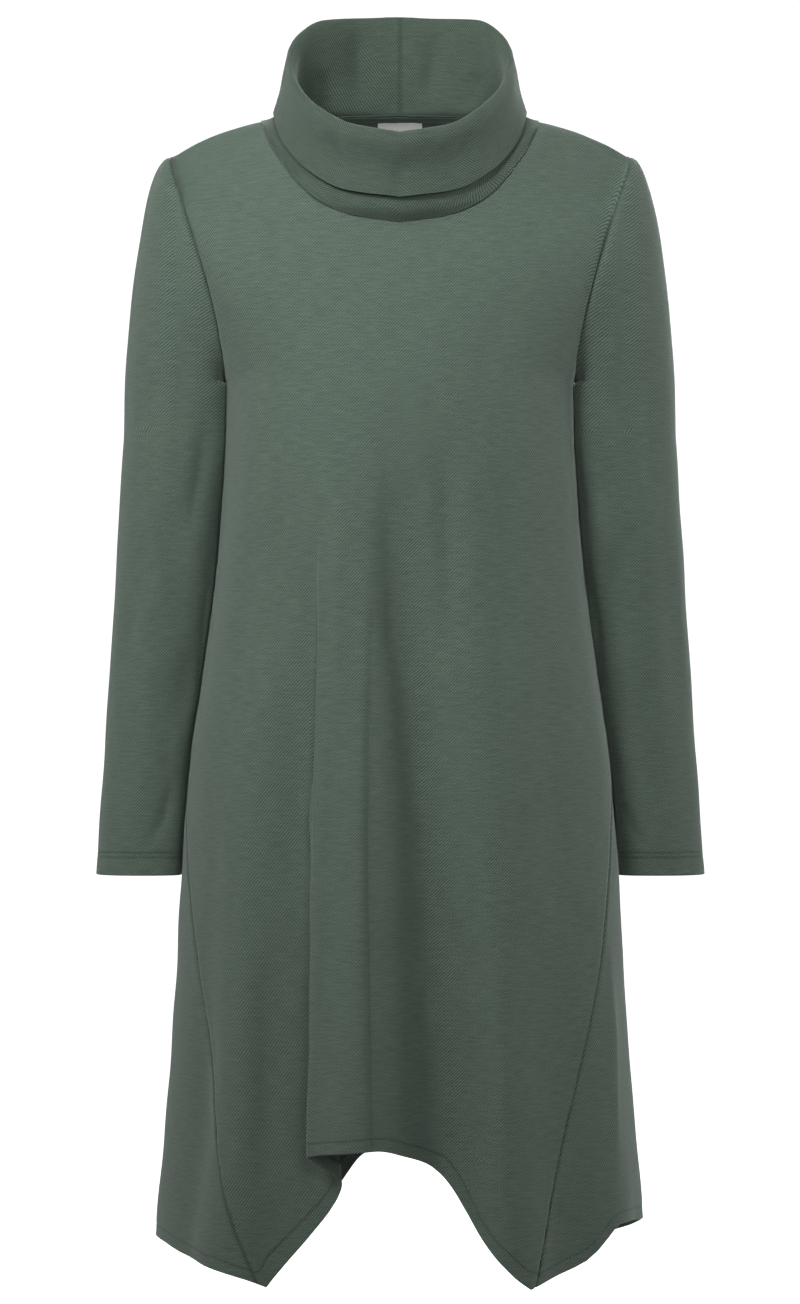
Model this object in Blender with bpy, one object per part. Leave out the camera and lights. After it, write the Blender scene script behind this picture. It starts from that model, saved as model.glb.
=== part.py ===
"""Turtleneck dress in heavy jersey, filled out as if worn, with nobody in it.

Metres, +Z up, front towards -Y. The origin is the middle of the neck opening at the height of
the side neck points. Each cut and sewn piece is a closed wall of cloth about a grid of points;
pieces that are sewn together share the points of their seam, less half a seam gap each.
Angles round the body run from the front middle, 0, over +X, 90, to the back middle, 180.
"""
import math

import bmesh
import bpy
import numpy as np

# Cloth
CLOTH = 0.0014             # wall of a single layer of heavy jersey
COLLAR_CLOTH = 0.0028      # the collar is cut double
TAPE_CLOTH = 0.0009
LABEL_CLOTH = 0.0006
SEAM_GAP = 0.0003
SET_IN_EASE = 0.0001       # extra gap on the collar's and the sleeves' side of their seams
LAID_GAP = 0.0004          # under the tape and the label, which lie on the back's inside

# Neck, shoulder and armhole
NECK_HALF = 0.115          # side neck point from the middle
NECK_TOP = -0.0025         # height of the side neck point
TIP_HALF = 0.190           # shoulder tip from the middle
TIP_TOP = -0.031
UNDERARM = -0.217          # height of the underarm point
ARMHOLE_DEPTH = 0.055      # the armhole's reach to the front and to the back
RIDGE_SLOPE = 0.20         # shoulder line beside the neck
RIDGE_CURVE = 2.4          # its droop towards the tip, per metre
NECK_RISE = 0.0285         # rise of the same line, carried on inside the neck, to the middle
NECK_RISE_POWER = 2.8
ROUNDING = 0.065           # drop over which chest and back round out from the shoulder line
ARMHOLE_EDGE = 0.5         # how steeply the armhole's reach starts and ends
ARMHOLE_FADE = 2.0         # how fast it fades towards the middle of the chest
SQUARE_TOP = -0.060        # height where the section starts to turn from squarish to rounded
SQUARE_POWER = 2.6
ROUND_POWER = 2.2
FOLD_GROWTH = 1.2          # how the folds, and the laps, deepen on their way down
LAP_GROWTH = 1.25

# Gores let into the side seams
GORE_TOP = -0.530
GORE_LOW = -0.969
GORE_SPREAD = 59.5         # degrees from the side seam to each gore seam at the points
GORE_CURVE = 0.75
LEFT_SEAM_TURN = 4.0       # degrees that the seam on the -X side hangs towards the back

# Guide columns that the panels' columns follow, in degrees, and the stretch where they turn to them
GUIDES_START = -0.25
GUIDES_RUN = 0.35
FLUTE_GUIDE = 27.5         # left of the flute
VALLEY_GUIDE_TOP = -4.0
VALLEY_GUIDE_LOW = -1.0
RIGHT_GUIDE = 22.0
BACK_GUIDE = 24.0
FLUTE_CROWD = 0.35         # columns crowd towards the flute's edge by this much

# Sleeve
CUFF = -0.627
CAP_END = -0.262           # height where the sleeve is a full tube
SLEEVE_CLEAR = 0.0028      # cloth to cloth between sleeve and side, at the wall's middle
UNDERARM_EASE = 0.0006     # more of it just below the underarm
UNDERARM_BRIDGE = 0.0035   # the sleeve's first step away from the underarm
UNDERARM_FADE = 0.10       # height over which the ease below the underarm goes
SLEEVE_TOUCH = 0.5         # where sleeve and side are nearest, as a share of the sleeve's place behind
TIP_BRIDGE = 0.0010        # more of that first step at the shoulder tip
CAP_OUT = 0.90             # way that the cap leaves the armhole at the shoulder tip: out, down
CAP_DOWN = 0.50
CAP_IN = 0.22              # and at its front and back: towards the middle, down
CAP_SIDE_DOWN = 0.55
CAP_LEAD = 0.003           # how far it keeps that way, at the underarm and more at the tip
CAP_LEAD_TIP = 0.019
CAP_UNDER_DOWN = 0.55      # and at the underarm: down, and towards the back
CAP_UNDER_BACK = 0.30
CAP_LEAD_POWER = 1.3
CAP_LIFT = 0.40            # how far it comes into the tube from above, as a share of its span
CAP_LIFT_IN = 0.006

# Middle that the collar's columns are spread from: reach to the front and to the back
COLLAR_SPREAD_FRONT = 0.080
COLLAR_SPREAD_BACK = 0.065

# Neck tape and label
TAPE_DROP = 0.0012         # from the neck seam to the tape's upper edge
TAPE_WIDTH = 0.0085
TAPE_INSET = 2             # columns of the back from the neck points to the tape's ends
LABEL_WIDTH = 0.034
LABEL_LENGTH = 0.026

# Rows and columns of the grids
TOP_ROWS = 8
MIDDLE_ROWS = 11
LOWER_ROWS = 10
SHOULDER_COLUMNS = 6
FLUTE_COLUMNS = 14
RIGHT_COLUMNS = 8
BACK_COLUMNS = 8
GORE_COLUMNS = 10
CAP_ROWS = 8
TUBE_ROWS = 15
COLLAR_ROWS = 14

# Body sections: height, half width, reach to the front, reach to the back
SECTIONS = [
    (0.012, 0.1900, 0.058, 0.099),
    (-0.031, 0.1900, 0.064, 0.101),
    (-0.071, 0.1790, 0.076, 0.104),
    (-0.098, 0.1707, 0.086, 0.106),
    (-0.121, 0.1632, 0.0955, 0.1075),
    (-0.150, 0.1550, 0.1055, 0.1085),
    (-0.180, 0.1482, 0.1135, 0.1087),
    (-0.217, 0.1436, 0.1200, 0.1080),
    (-0.250, 0.1434, 0.1236, 0.1070),
    (-0.285, 0.1446, 0.1250, 0.1062),
    (-0.330, 0.1475, 0.1248, 0.1062),
    (-0.361, 0.1500, 0.1243, 0.1075),
    (-0.412, 0.1560, 0.125, 0.112),
    (-0.481, 0.1660, 0.129, 0.121),
    (-0.531, 0.1730, 0.133, 0.128),
    (-0.628, 0.1805, 0.140, 0.138),
    (-0.730, 0.1860, 0.146, 0.146),
    (-0.813, 0.1920, 0.151, 0.152),
    (-0.908, 0.2000, 0.156, 0.158),
    (-0.975, 0.2040, 0.158, 0.160),
]

# Neckline: distance from the middle, height at the front, height at the back
NECKLINE = [
    (0.000, -0.0896, 0.0100),
    (0.040, -0.0835, 0.0090),
    (0.069, -0.0705, 0.0068),
    (0.087, -0.0530, 0.0045),
    (0.096, -0.0406, 0.0030),
    (0.1035, -0.0291, 0.0010),
    (0.1105, -0.0146, -0.0010),
    (0.115, -0.0025, -0.0025),
]

# Hem round the skirt: angle, height
HEM = [
    (-180.0, -0.862), (-171.0, -0.870), (-164.0, -0.898), (-158.5, -0.930), (-153.5, -0.956),
    (-146.0, -0.949), (-130.0, -0.940), (-110.0, -0.932), (-90.0, -0.9250), (-80.0, -0.9262),
    (-66.0, -0.9330), (-52.0, -0.9390), (-44.0, -0.9430), (-39.0, -0.9485), (-34.5, -0.956),
    (-33.0, -0.9427), (-31.0, -0.9230), (-29.0, -0.9022), (-27.0, -0.8840), (-25.0, -0.8700),
    (-23.0, -0.8600), (-19.0, -0.8482), (-11.0, -0.8444), (-4.0, -0.8425), (2.0, -0.8486),
    (8.0, -0.8560), (11.0, -0.8634), (14.0, -0.8768), (17.0, -0.8958), (20.0, -0.9160),
    (23.0, -0.9326), (26.5, -0.9465), (30.5, -0.956),
    (34.0, -0.9525), (39.0, -0.9478), (44.0, -0.9430), (49.0, -0.9363), (54.0, -0.9235),
    (58.0, -0.9115), (62.0, -0.9078), (67.0, -0.9078), (90.0, -0.9118), (110.0, -0.925),
    (130.0, -0.940), (142.0, -0.949), (149.5, -0.956),
    (154.5, -0.930), (162.0, -0.898), (170.0, -0.870), (180.0, -0.862),
]
HEM_POINTS = (-153.5, -34.5, 30.5, 149.5)      # angles where the hem comes to a point

# Folds of the skirt, crests and valleys in turn: name, angle where it starts, angle at the hem,
# millimetres outward, height where it starts
FOLDS = [
    ("back middle crest", -180, -180, 10, -0.34),
    ("back left valley", -163, -166, -8, -0.38),
    ("back left flute", -140, -143, 11, -0.36),
    ("left rear valley", -118, -120, -5, -0.46),
    ("left side crest", -93, -93, 1, -0.56),
    ("left front valley", -58, -62, -5, -0.50),
    ("left front crest", -44, -42, 3, -0.50),
    ("behind the flute", -34, -29.5, -14, -0.40),
    ("flute crest", -15, -15, 18, -0.32),
    ("flute edge on the right", -8, -8.5, 20, -0.34),
    ("front valley", 5, 10, -19, -0.32),
    ("right front crest", 30, 24, 6, -0.46),
    ("right gore valley", 46, 42, -4, -0.52),
    ("right gore crest", 62, 59, 6, -0.56),
    ("right side valley", 78, 78, -1, -0.60),
    ("right side crest", 97, 97, 2, -0.56),
    ("right rear valley", 120, 122, -6, -0.46),
    ("back right flute", 142, 144, 10, -0.38),
    ("back right valley", 162, 164, -8, -0.40),
    ("back middle crest", 180, 180, 10, -0.34),
]
FOLD_FULL = -0.900         # height where the folds have their full depth

# Overlap at the flute's left edge: name, angle where it starts, angle at the hem, millimetres
# that the cloth is pushed towards +X, height where it starts
LAPS = [
    ("left of the flute", -46, -35, 0, -0.42),
    ("turn behind the flute", -31, -25.5, 35, -0.42),
    ("flute edge", -23, -18, -9, -0.38),
    ("right of the flute", 0, 0, 0, -0.38),
]

# Sleeve below the cap: height, outer edge from the middle, half depth, middle behind the side seam
SLEEVE_SECTIONS = [
    (-0.262, 0.2297, 0.0570, 0.025),
    (-0.361, 0.2357, 0.0540, 0.031),
    (-0.430, 0.2400, 0.0505, 0.034),
    (-0.481, 0.2436, 0.0480, 0.035),
    (-0.531, 0.2467, 0.0460, 0.034),
    (-0.577, 0.2498, 0.0430, 0.031),
    (-0.627, 0.2530, 0.0400, 0.028),
]

# Sleeve creases: side (-1 or 1), height, degrees round from outside, half length, half width in
# degrees, depth in millimetres (troughs are below zero)
SLEEVE_CREASES = [
    (-1, -0.415, 52, 0.075, 26, -3.0), (-1, -0.300, 70, 0.060, 24, 2.0),
    (-1, -0.470, 120, 0.050, 34, -3.5), (-1, -0.420, 235, 0.060, 30, -3.0),
    (1, -0.420, 50, 0.080, 24, -2.6), (1, -0.330, 75, 0.070, 24, 1.8),
    (1, -0.480, 122, 0.050, 34, -3.2), (1, -0.400, 240, 0.060, 30, -2.8),
]

# Collar profile from the neck seam over the top fold to the free edge, at the wall's middle:
# name, half width, reach to the front, reach to the back, heights at COLLAR_ANGLES
COLLAR_ANGLES = (0, 25, 45, 65, 90, 115, 136, 180)
COLLAR_PROFILE = [
    ("stand low", 0.1028, 0.0915, 0.066,
     (-0.0790, -0.0725, -0.0545, -0.0265, 0.0012, 0.0085, 0.0135, 0.0190)),
    ("stand middle", 0.0925, 0.0830, 0.068,
     (-0.0560, -0.0500, -0.0340, -0.0120, 0.0105, 0.0300, 0.0420, 0.0500)),
    ("stand high", 0.0880, 0.0880, 0.072,
     (-0.0300, -0.0230, -0.0070, 0.0130, 0.0400, 0.0635, 0.0770, 0.0825)),
    ("top fold", 0.0920, 0.0975, 0.0755,
     (-0.0195, -0.0125, 0.0030, 0.0225, 0.0490, 0.0735, 0.0870, 0.0925)),
    ("turned high", 0.0955, 0.1060, 0.079,
     (-0.0275, -0.0205, -0.0050, 0.0145, 0.0410, 0.0640, 0.0770, 0.0820)),
    ("turned middle", 0.0990, 0.1085, 0.082,
     (-0.0490, -0.0420, -0.0270, -0.0055, 0.0230, 0.0360, 0.0450, 0.0520)),
    ("free edge", 0.1042, 0.1035, 0.081,
     (-0.0710, -0.0645, -0.0480, -0.0240, 0.0055, 0.0110, 0.0165, 0.0240)),
]

GREEN = (0.093, 0.125, 0.101, 1.0)
GREEN_TAPE = (0.085, 0.115, 0.093, 1.0)
LABEL_GREY = (0.42, 0.43, 0.40, 1.0)


def ease(t):
    """0 to 1 with flat ends."""
    t = np.clip(t, 0.0, 1.0)
    return t * t * (3.0 - 2.0 * t)


def smooth_table(xs, ys, x):
    """Smooth curve through a table, without overshoot (monotone cubic)."""
    xs = np.asarray(xs, float)
    ys = np.asarray(ys, float)
    if xs[0] > xs[-1]:
        xs = xs[::-1]
        ys = ys[::-1]
    step = np.diff(xs)
    slope = np.diff(ys) / step
    tangent = np.zeros_like(ys)
    same_way = slope[:-1] * slope[1:] > 0
    inner = np.where(same_way, 2.0 * slope[:-1] * slope[1:] / (slope[:-1] + slope[1:] + 1e-30), 0.0)
    tangent[1:-1] = inner
    tangent[0] = slope[0]
    tangent[-1] = slope[-1]
    x = np.clip(np.asarray(x, float), xs[0], xs[-1])
    k = np.clip(np.searchsorted(xs, x) - 1, 0, len(xs) - 2)
    t = (x - xs[k]) / step[k]
    rise = ys[k + 1] - ys[k]
    return (ys[k] + rise * t * t * (3 - 2 * t)
            + step[k] * (tangent[k] * t * (1 - t) ** 2 - tangent[k + 1] * t * t * (1 - t)))


def section(column, height):
    """Half width (1), front reach (2) or back reach (3) of the body at a height."""
    return smooth_table([row[0] for row in SECTIONS], [row[column] for row in SECTIONS], height)


def ridge(x):
    """Height of the shoulder line at a distance from the middle."""
    beyond = np.maximum(np.abs(x) - NECK_HALF, 0.0)
    inside = np.minimum(np.abs(x) / NECK_HALF, 1.0)
    rise = NECK_RISE * (1.0 - inside ** NECK_RISE_POWER)
    return NECK_TOP - RIDGE_SLOPE * beyond - RIDGE_CURVE * beyond ** 2 + rise


def armhole_reach(height, share):
    """How far the armhole holds the cloth to the front, or to the back, at a height."""
    middle = (TIP_TOP + UNDERARM) / 2
    half = (TIP_TOP - UNDERARM) / 2
    level = np.clip(1.0 - ((height - middle) / half) ** 2, 0.0, 1.0)
    softer = ARMHOLE_EDGE + ARMHOLE_FADE * np.sqrt(np.clip(1.0 - np.abs(share), 0.0, 1.0))
    return ARMHOLE_DEPTH * level ** softer


def wave_between(rows, angle, height, power):
    """Smooth wave through rows of (name, top angle, hem angle, millimetres, start height)."""
    knots = []
    for _, top_angle, hem_angle, size, start in rows:
        grown = np.clip((start - height) / (start - FOLD_FULL), 0.0, 1.0)
        knots.append((top_angle + (hem_angle - top_angle) * grown, 0.001 * size * grown ** power))
    wave = knots[0][1]
    for (angle0, size0), (angle1, size1) in zip(knots, knots[1:]):
        wave = wave + (size1 - size0) * ease((angle - angle0) / (angle1 - angle0))
    return wave


def body_point(angle, height, to_front=None):
    """Point of the body's cloth at an angle round it, in degrees, and a height.

    At the sides, to_front says which edge of the armhole is meant.
    """
    angle = (np.asarray(angle, float) + 180.0) % 360.0 - 180.0
    height = np.asarray(height, float)
    turn = np.radians(angle)
    share = np.sin(turn)
    x = section(1, height) * share
    front = np.cos(turn) >= 0 if to_front is None else to_front
    reach = np.where(front, section(2, height), section(3, height))
    drop = np.clip((ridge(x) - height) / ROUNDING, 0.0, 1.0)
    full = reach * np.sqrt(1.0 - (1.0 - drop) ** 2)
    side = armhole_reach(height, share)
    low = ease((SQUARE_TOP - height) / (SQUARE_TOP - UNDERARM))
    power = SQUARE_POWER + (ROUND_POWER - SQUARE_POWER) * low
    root = 1.0 + (1.0 / ROUND_POWER - 1.0) * low
    fill = np.clip(1.0 - np.abs(share) ** power, 0.0, 1.0) ** root
    y = np.where(front, -1.0, 1.0) * (side + (full - side) * fill)
    out = wave_between(FOLDS, angle, height, FOLD_GROWTH)
    along = wave_between(LAPS, angle, height, LAP_GROWTH)
    x = x + out * np.sin(turn) + along
    y = y - out * np.cos(turn)
    return np.stack(np.broadcast_arrays(x, y, height), axis=-1)


def gore_angle(height):
    """Degrees from the side seam to a gore's seams."""
    down = np.clip((GORE_TOP - height) / (GORE_TOP - GORE_LOW), 0.0, 2.0)
    return GORE_SPREAD * down ** GORE_CURVE


def side_seam(side, height):
    """Angle of a side seam; on the -X side it hangs a little to the back."""
    if side > 0:
        return 90.0 + 0.0 * np.asarray(height, float)
    return -90.0 - LEFT_SEAM_TURN * ease((UNDERARM - height) / (UNDERARM - GORE_TOP))


def hem_height(angle):
    """Height of the hem at an angle."""
    angle = (np.asarray(angle, float) + 180.0) % 360.0 - 180.0
    height = np.zeros_like(angle)
    ends = (-180.0,) + HEM_POINTS + (180.0,)
    for low, high in zip(ends, ends[1:]):
        rows = [row for row in HEM if low <= row[0] <= high]
        between = smooth_table([row[0] for row in rows], [row[1] for row in rows], angle)
        height = np.where((angle >= low) & (angle <= high), between, height)
    return height


def neck_angle():
    """Angle, from the front or back middle, of the column through the side neck point."""
    return math.degrees(math.asin(NECK_HALF / TIP_HALF))


def top_height(angle, front):
    """Height of a panel's top edge: the neckline, and the shoulder line beside it."""
    share = abs(math.sin(math.radians(angle)))
    height = TIP_TOP
    column = 1 if front else 2
    for _ in range(40):
        x = float(section(1, height)) * share
        if x >= NECK_HALF - 1e-6:
            height = float(ridge(x))
        else:
            height = float(smooth_table([r[0] for r in NECKLINE], [r[column] for r in NECKLINE], x))
    return height


def guide_angles(front, height):
    """Angles of a panel's guide columns at a height, and the columns from one to the next."""
    down = ease((GUIDES_START - height) / GUIDES_RUN)
    neck = neck_angle()
    spread = gore_angle(height)
    if front:
        left = side_seam(-1, height) + spread
        right = side_seam(1, height) - spread
        valley = VALLEY_GUIDE_TOP + (VALLEY_GUIDE_LOW - VALLEY_GUIDE_TOP) * down
        inner = [-neck + (neck - FLUTE_GUIDE) * down, valley, neck + (RIGHT_GUIDE - neck) * down]
        counts = [SHOULDER_COLUMNS, FLUTE_COLUMNS, RIGHT_COLUMNS, SHOULDER_COLUMNS]
        return [left] + inner + [right], counts
    right = side_seam(1, height) + spread
    left = side_seam(-1, height) - spread + 360.0
    aside = neck + (BACK_GUIDE - neck) * down
    inner = [180.0 - aside, 180.0, 180.0 + aside]
    counts = [SHOULDER_COLUMNS, BACK_COLUMNS, BACK_COLUMNS, SHOULDER_COLUMNS]
    return [right] + inner + [left], counts


def column_angle(front, column, height):
    """Angle of one column of the front or the back at a height."""
    guides, counts = guide_angles(front, height)
    for k, count in enumerate(counts):
        if column <= count:
            down = float(ease((GUIDES_START - height) / GUIDES_RUN))
            crowd = 1.0 + FLUTE_CROWD * down * (front and k == 1)
            return guides[k] + (guides[k + 1] - guides[k]) * (column / count) ** crowd
        column -= count
    return guides[-1]


def panel_grid(front):
    """Grid of the front or the back, from neckline and shoulders down to the hem."""
    columns = sum(guide_angles(front, 0.0)[1]) + 1
    grid = np.zeros((TOP_ROWS + MIDDLE_ROWS + LOWER_ROWS + 1, columns, 3))
    for j in range(columns):
        top = top_height(column_angle(front, j, 0.0), front)
        hem = GORE_LOW
        for _ in range(30):
            hem = float(hem_height(column_angle(front, j, hem)))
        upper = [top + (UNDERARM - top) * (1 - math.cos(math.pi * i / TOP_ROWS)) / 2
                 for i in range(TOP_ROWS)]
        middle = list(np.linspace(UNDERARM, GORE_TOP, MIDDLE_ROWS + 1)[:-1])
        lower = list(np.linspace(GORE_TOP, hem, LOWER_ROWS + 1))
        for i, height in enumerate(upper + middle + lower):
            upper_side = front if height > UNDERARM else None
            grid[i, j] = body_point(column_angle(front, j, height), height, upper_side)
    return grid


def gore_grid(side):
    """Grid of a gore, from its point in the side seam to the hem."""
    grid = np.zeros((LOWER_ROWS + 1, GORE_COLUMNS + 1, 3))
    for j in range(GORE_COLUMNS + 1):
        share = side * (-1.0 + 2.0 * j / GORE_COLUMNS)
        hem = GORE_LOW
        for _ in range(30):
            hem = float(hem_height(side_seam(side, hem) + share * gore_angle(hem)))
        for i, height in enumerate(np.linspace(GORE_TOP, hem, LOWER_ROWS + 1)):
            grid[i, j] = body_point(side_seam(side, height) + share * gore_angle(height), height)
    return grid


def bezier(p0, p1, p2, p3, t):
    """Point of a cubic curve."""
    return p0 * (1 - t) ** 3 + 3 * p1 * t * (1 - t) ** 2 + 3 * p2 * t * t * (1 - t) + p3 * t ** 3


def sleeve_point(side, turn, height):
    """Point of the sleeve's tube; turn 0 is outside, 90 degrees the front, 180 inside."""
    heights = [row[0] for row in SLEEVE_SECTIONS]
    outer = smooth_table(heights, [row[1] for row in SLEEVE_SECTIONS], height)
    depth = smooth_table(heights, [row[2] for row in SLEEVE_SECTIONS], height)
    behind = smooth_table(heights, [row[3] for row in SLEEVE_SECTIONS], height)
    clear = SLEEVE_CLEAR + UNDERARM_EASE * ease((height - CAP_END + UNDERARM_FADE) / UNDERARM_FADE)
    touch = behind * SLEEVE_TOUCH
    beside = (1.0 - (touch / section(3, height)) ** ROUND_POWER) ** (1.0 / ROUND_POWER)
    bend = (1.0 - np.sqrt(1.0 - ((behind - touch) / depth) ** 2)) / 2
    inner = float((section(1, height) * beside + clear - outer * bend) / (1.0 - bend))
    half = (outer - inner) / 2
    bulge = 0.0
    for crease_side, level, place, half_long, half_wide, deep in SLEEVE_CREASES:
        if crease_side == side:
            apart = abs((math.degrees(turn) - place + 180.0) % 360.0 - 180.0)
            near = ease(1.0 - abs(height - level) / half_long) * ease(1.0 - apart / half_wide)
            bulge += 0.001 * deep * near
    x = side * ((outer + inner) / 2 + (half + bulge) * math.cos(turn))
    y = behind - (depth + bulge) * math.sin(turn)
    return np.array([x, y, height])


def sleeve_grid(side, front, back):
    """Grid of a sleeve: the armhole's own points, the cap, then the tube to the cuff."""
    if side > 0:
        loop = [front[i, -1] for i in range(TOP_ROWS + 1)]
        loop += [back[i, 0] for i in range(TOP_ROWS - 1, 0, -1)]
    else:
        loop = [front[i, 0] for i in range(TOP_ROWS + 1)]
        loop += [back[i, -1] for i in range(TOP_ROWS - 1, 0, -1)]
    columns = len(loop)
    grid = np.zeros((CAP_ROWS + TUBE_ROWS + 1, columns, 3))
    for j, start in enumerate(loop):
        turn = 2 * math.pi * j / columns
        high = (1 + math.cos(turn)) / 2
        forward = math.sin(turn)
        under = (1 - high) ** 4
        away = np.array([side * (CAP_OUT + (1 - CAP_OUT) * (1 - high)),
                         CAP_UNDER_BACK * under - CAP_IN * forward,
                         -CAP_DOWN * high ** 0.5 - CAP_SIDE_DOWN * abs(forward) * high
                         - CAP_UNDER_DOWN * under])
        away /= np.linalg.norm(away)
        first = start + away * (UNDERARM_BRIDGE + TIP_BRIDGE * high)
        end = sleeve_point(side, turn, CAP_END)
        span = np.linalg.norm(end - first)
        lead = first + away * (CAP_LEAD + CAP_LEAD_TIP * high ** CAP_LEAD_POWER)
        lift = np.array([-side * CAP_LIFT_IN * high, 0.0, 1.0]) * CAP_LIFT * span
        grid[0, j] = start
        for i in range(1, CAP_ROWS + 1):
            t = (i - 1) / (CAP_ROWS - 1)
            grid[i, j] = bezier(first, lead, end + lift, end, t)
        for i, height in enumerate(np.linspace(CAP_END, CUFF, TUBE_ROWS + 1)[1:]):
            grid[CAP_ROWS + 1 + i, j] = sleeve_point(side, turn, float(height))
    return grid


def neck_loop(front, back):
    """The neckline's points, round from the -X side neck over the front and back again."""
    first = SHOULDER_COLUMNS
    front_points = [front[0, j] for j in range(first, front.shape[1] - first)]
    back_points = [back[0, j] for j in range(first + 1, back.shape[1] - first - 1)]
    return front_points + back_points


def collar_grid(front, back):
    """Grid of the collar: up from the neck seam, over the top fold, down to the free edge."""
    loop = neck_loop(front, back)
    grid = np.zeros((COLLAR_ROWS + 1, len(loop), 3))
    for j, start in enumerate(loop):
        reach = COLLAR_SPREAD_FRONT if start[1] < 0 else COLLAR_SPREAD_BACK
        around = math.atan2(start[0] / NECK_HALF, -start[1] / reach)
        guides = [start]
        for _, half, to_front, to_back, heights in COLLAR_PROFILE:
            depth = to_front if math.cos(around) > 0 else to_back
            height = float(smooth_table(COLLAR_ANGLES, heights, abs(math.degrees(around))))
            guides.append(np.array([half * math.sin(around), -depth * math.cos(around), height]))
        grid[:, j] = along_guides(guides, COLLAR_ROWS)
    return grid


def along_guides(guides, rows):
    """Evenly numbered points on a smooth curve through guide points."""
    ends = [2 * guides[0] - guides[1]] + guides + [2 * guides[-1] - guides[-2]]
    points = []
    for i in range(rows + 1):
        place = i * (len(guides) - 1) / rows
        k = min(int(place), len(guides) - 2)
        t = place - k
        a, b, c, d = ends[k:k + 4]
        points.append(0.5 * (2 * b + (c - a) * t + (2 * a - 5 * b + 4 * c - d) * t * t
                             + (3 * b - a - 3 * c + d) * t ** 3))
    return np.array(points)


def grid_normals(grid, around):
    """Unit normals of a grid of points; around closes its columns into a tube."""
    down = np.gradient(grid, axis=0)
    if around:
        across = (np.roll(grid, -1, axis=1) - np.roll(grid, 1, axis=1)) / 2
    else:
        across = np.gradient(grid, axis=1)
    thin = np.linalg.norm(across, axis=2) < 1e-7
    across[0][thin[0]] = across[1][thin[0]]
    normals = np.cross(across, down)
    return normals / np.linalg.norm(normals, axis=2, keepdims=True)


def seam_key(point):
    """Key that two pieces' copies of one seam point share."""
    return tuple(int(round(value * 1e6)) for value in point)


def mitre_seams(sheets):
    """Give points that two sheets share one normal, so that their walls meet in a mitre."""
    sums = {}
    for grid, normals, _ in sheets.values():
        seen = {}
        for point, normal in zip(grid.reshape(-1, 3), normals.reshape(-1, 3)):
            seen.setdefault(seam_key(point), []).append(normal)
        for key, found in seen.items():
            sums.setdefault(key, []).append(np.mean(found, axis=0))
    for grid, normals, _ in sheets.values():
        flat = normals.reshape(-1, 3)
        for k, point in enumerate(grid.reshape(-1, 3)):
            found = sums[seam_key(point)]
            mean = np.mean(found, axis=0)
            mean /= np.linalg.norm(mean)
            stretch = 1.0 / max(float(mean @ flat[k]) / np.linalg.norm(flat[k]), 0.62)
            flat[k] = mean * (stretch if len(found) > 1 else 1.0)


def part_seams(sheets):
    """Draw each sheet's sewn edges in by half a seam gap."""
    shared = {}
    for name, (grid, _, _) in sheets.items():
        for key in {seam_key(point) for point in grid.reshape(-1, 3)}:
            shared.setdefault(key, set()).add(name)
    for grid, _, around in sheets.values():
        pull = SEAM_GAP / 2 + (SET_IN_EASE if around else 0.0)
        moved = grid.copy()
        rows, columns = grid.shape[:2]
        edges = [((0, slice(None)), (1, slice(None))), ((rows - 1, slice(None)), (rows - 2, slice(None)))]
        if not around:
            edges += [((slice(None), 0), (slice(None), 1))]
            edges += [((slice(None), columns - 1), (slice(None), columns - 2))]
        for edge, beside in edges:
            line = grid[edge]
            ahead = np.gradient(line, axis=0)
            ahead /= np.maximum(np.linalg.norm(ahead, axis=1, keepdims=True), 1e-9)
            inward = grid[beside] - line
            inward = inward - ahead * np.sum(inward * ahead, axis=1, keepdims=True)
            size = np.linalg.norm(inward, axis=1, keepdims=True)
            inward = np.where(size > 1e-7, inward / np.maximum(size, 1e-9), 0.0)
            sewn = np.array([[len(shared[seam_key(point)]) > 1] for point in line])
            moved[edge] += np.where(sewn, inward * pull, 0.0)
        grid[:] = moved


def wall(name, grid, normals, thickness, material, around=False):
    """Closed wall of cloth about a grid of points, as a named object."""
    rows, columns = grid.shape[:2]
    mesh = bmesh.new()
    outer = [mesh.verts.new(point) for point in (grid + normals * thickness / 2).reshape(-1, 3)]
    inner = [mesh.verts.new(point) for point in (grid - normals * thickness / 2).reshape(-1, 3)]
    steps = columns if around else columns - 1

    def face(*corners):
        mesh.faces.new(corners)

    for i in range(rows - 1):
        for j in range(steps):
            a = i * columns + j
            b = i * columns + (j + 1) % columns
            c = b + columns
            d = a + columns
            face(outer[a], outer[b], outer[c], outer[d])
            face(inner[d], inner[c], inner[b], inner[a])
    for j in range(steps):
        for start in (0, (rows - 1) * columns):
            a = start + j
            b = start + (j + 1) % columns
            face(outer[a], outer[b], inner[b], inner[a])
    if not around:
        for i in range(rows - 1):
            for a in (i * columns, i * columns + columns - 1):
                b = a + columns
                face(outer[a], outer[b], inner[b], inner[a])
    bmesh.ops.remove_doubles(mesh, verts=mesh.verts, dist=2e-6)
    bmesh.ops.dissolve_degenerate(mesh, edges=mesh.edges, dist=1e-7)
    bmesh.ops.triangulate(mesh, faces=mesh.faces, quad_method="SHORT_EDGE")
    bmesh.ops.recalc_face_normals(mesh, faces=mesh.faces)
    data = bpy.data.meshes.new(name)
    mesh.to_mesh(data)
    mesh.free()
    data.shade_smooth()
    data.set_sharp_from_angle(angle=math.radians(50))
    data.materials.append(material)
    piece = bpy.data.objects.new(name, data)
    bpy.context.collection.objects.link(piece)
    return piece


def place_on(grid, row, column):
    """Point of a grid's facets at a row and column that need not be whole."""
    i = min(int(row), grid.shape[0] - 2)
    j = min(int(column), grid.shape[1] - 2)
    u = row - i
    v = column - j
    return ((grid[i, j] * (1 - v) + grid[i, j + 1] * v) * (1 - u)
            + (grid[i + 1, j] * (1 - v) + grid[i + 1, j + 1] * v) * u)


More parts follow.
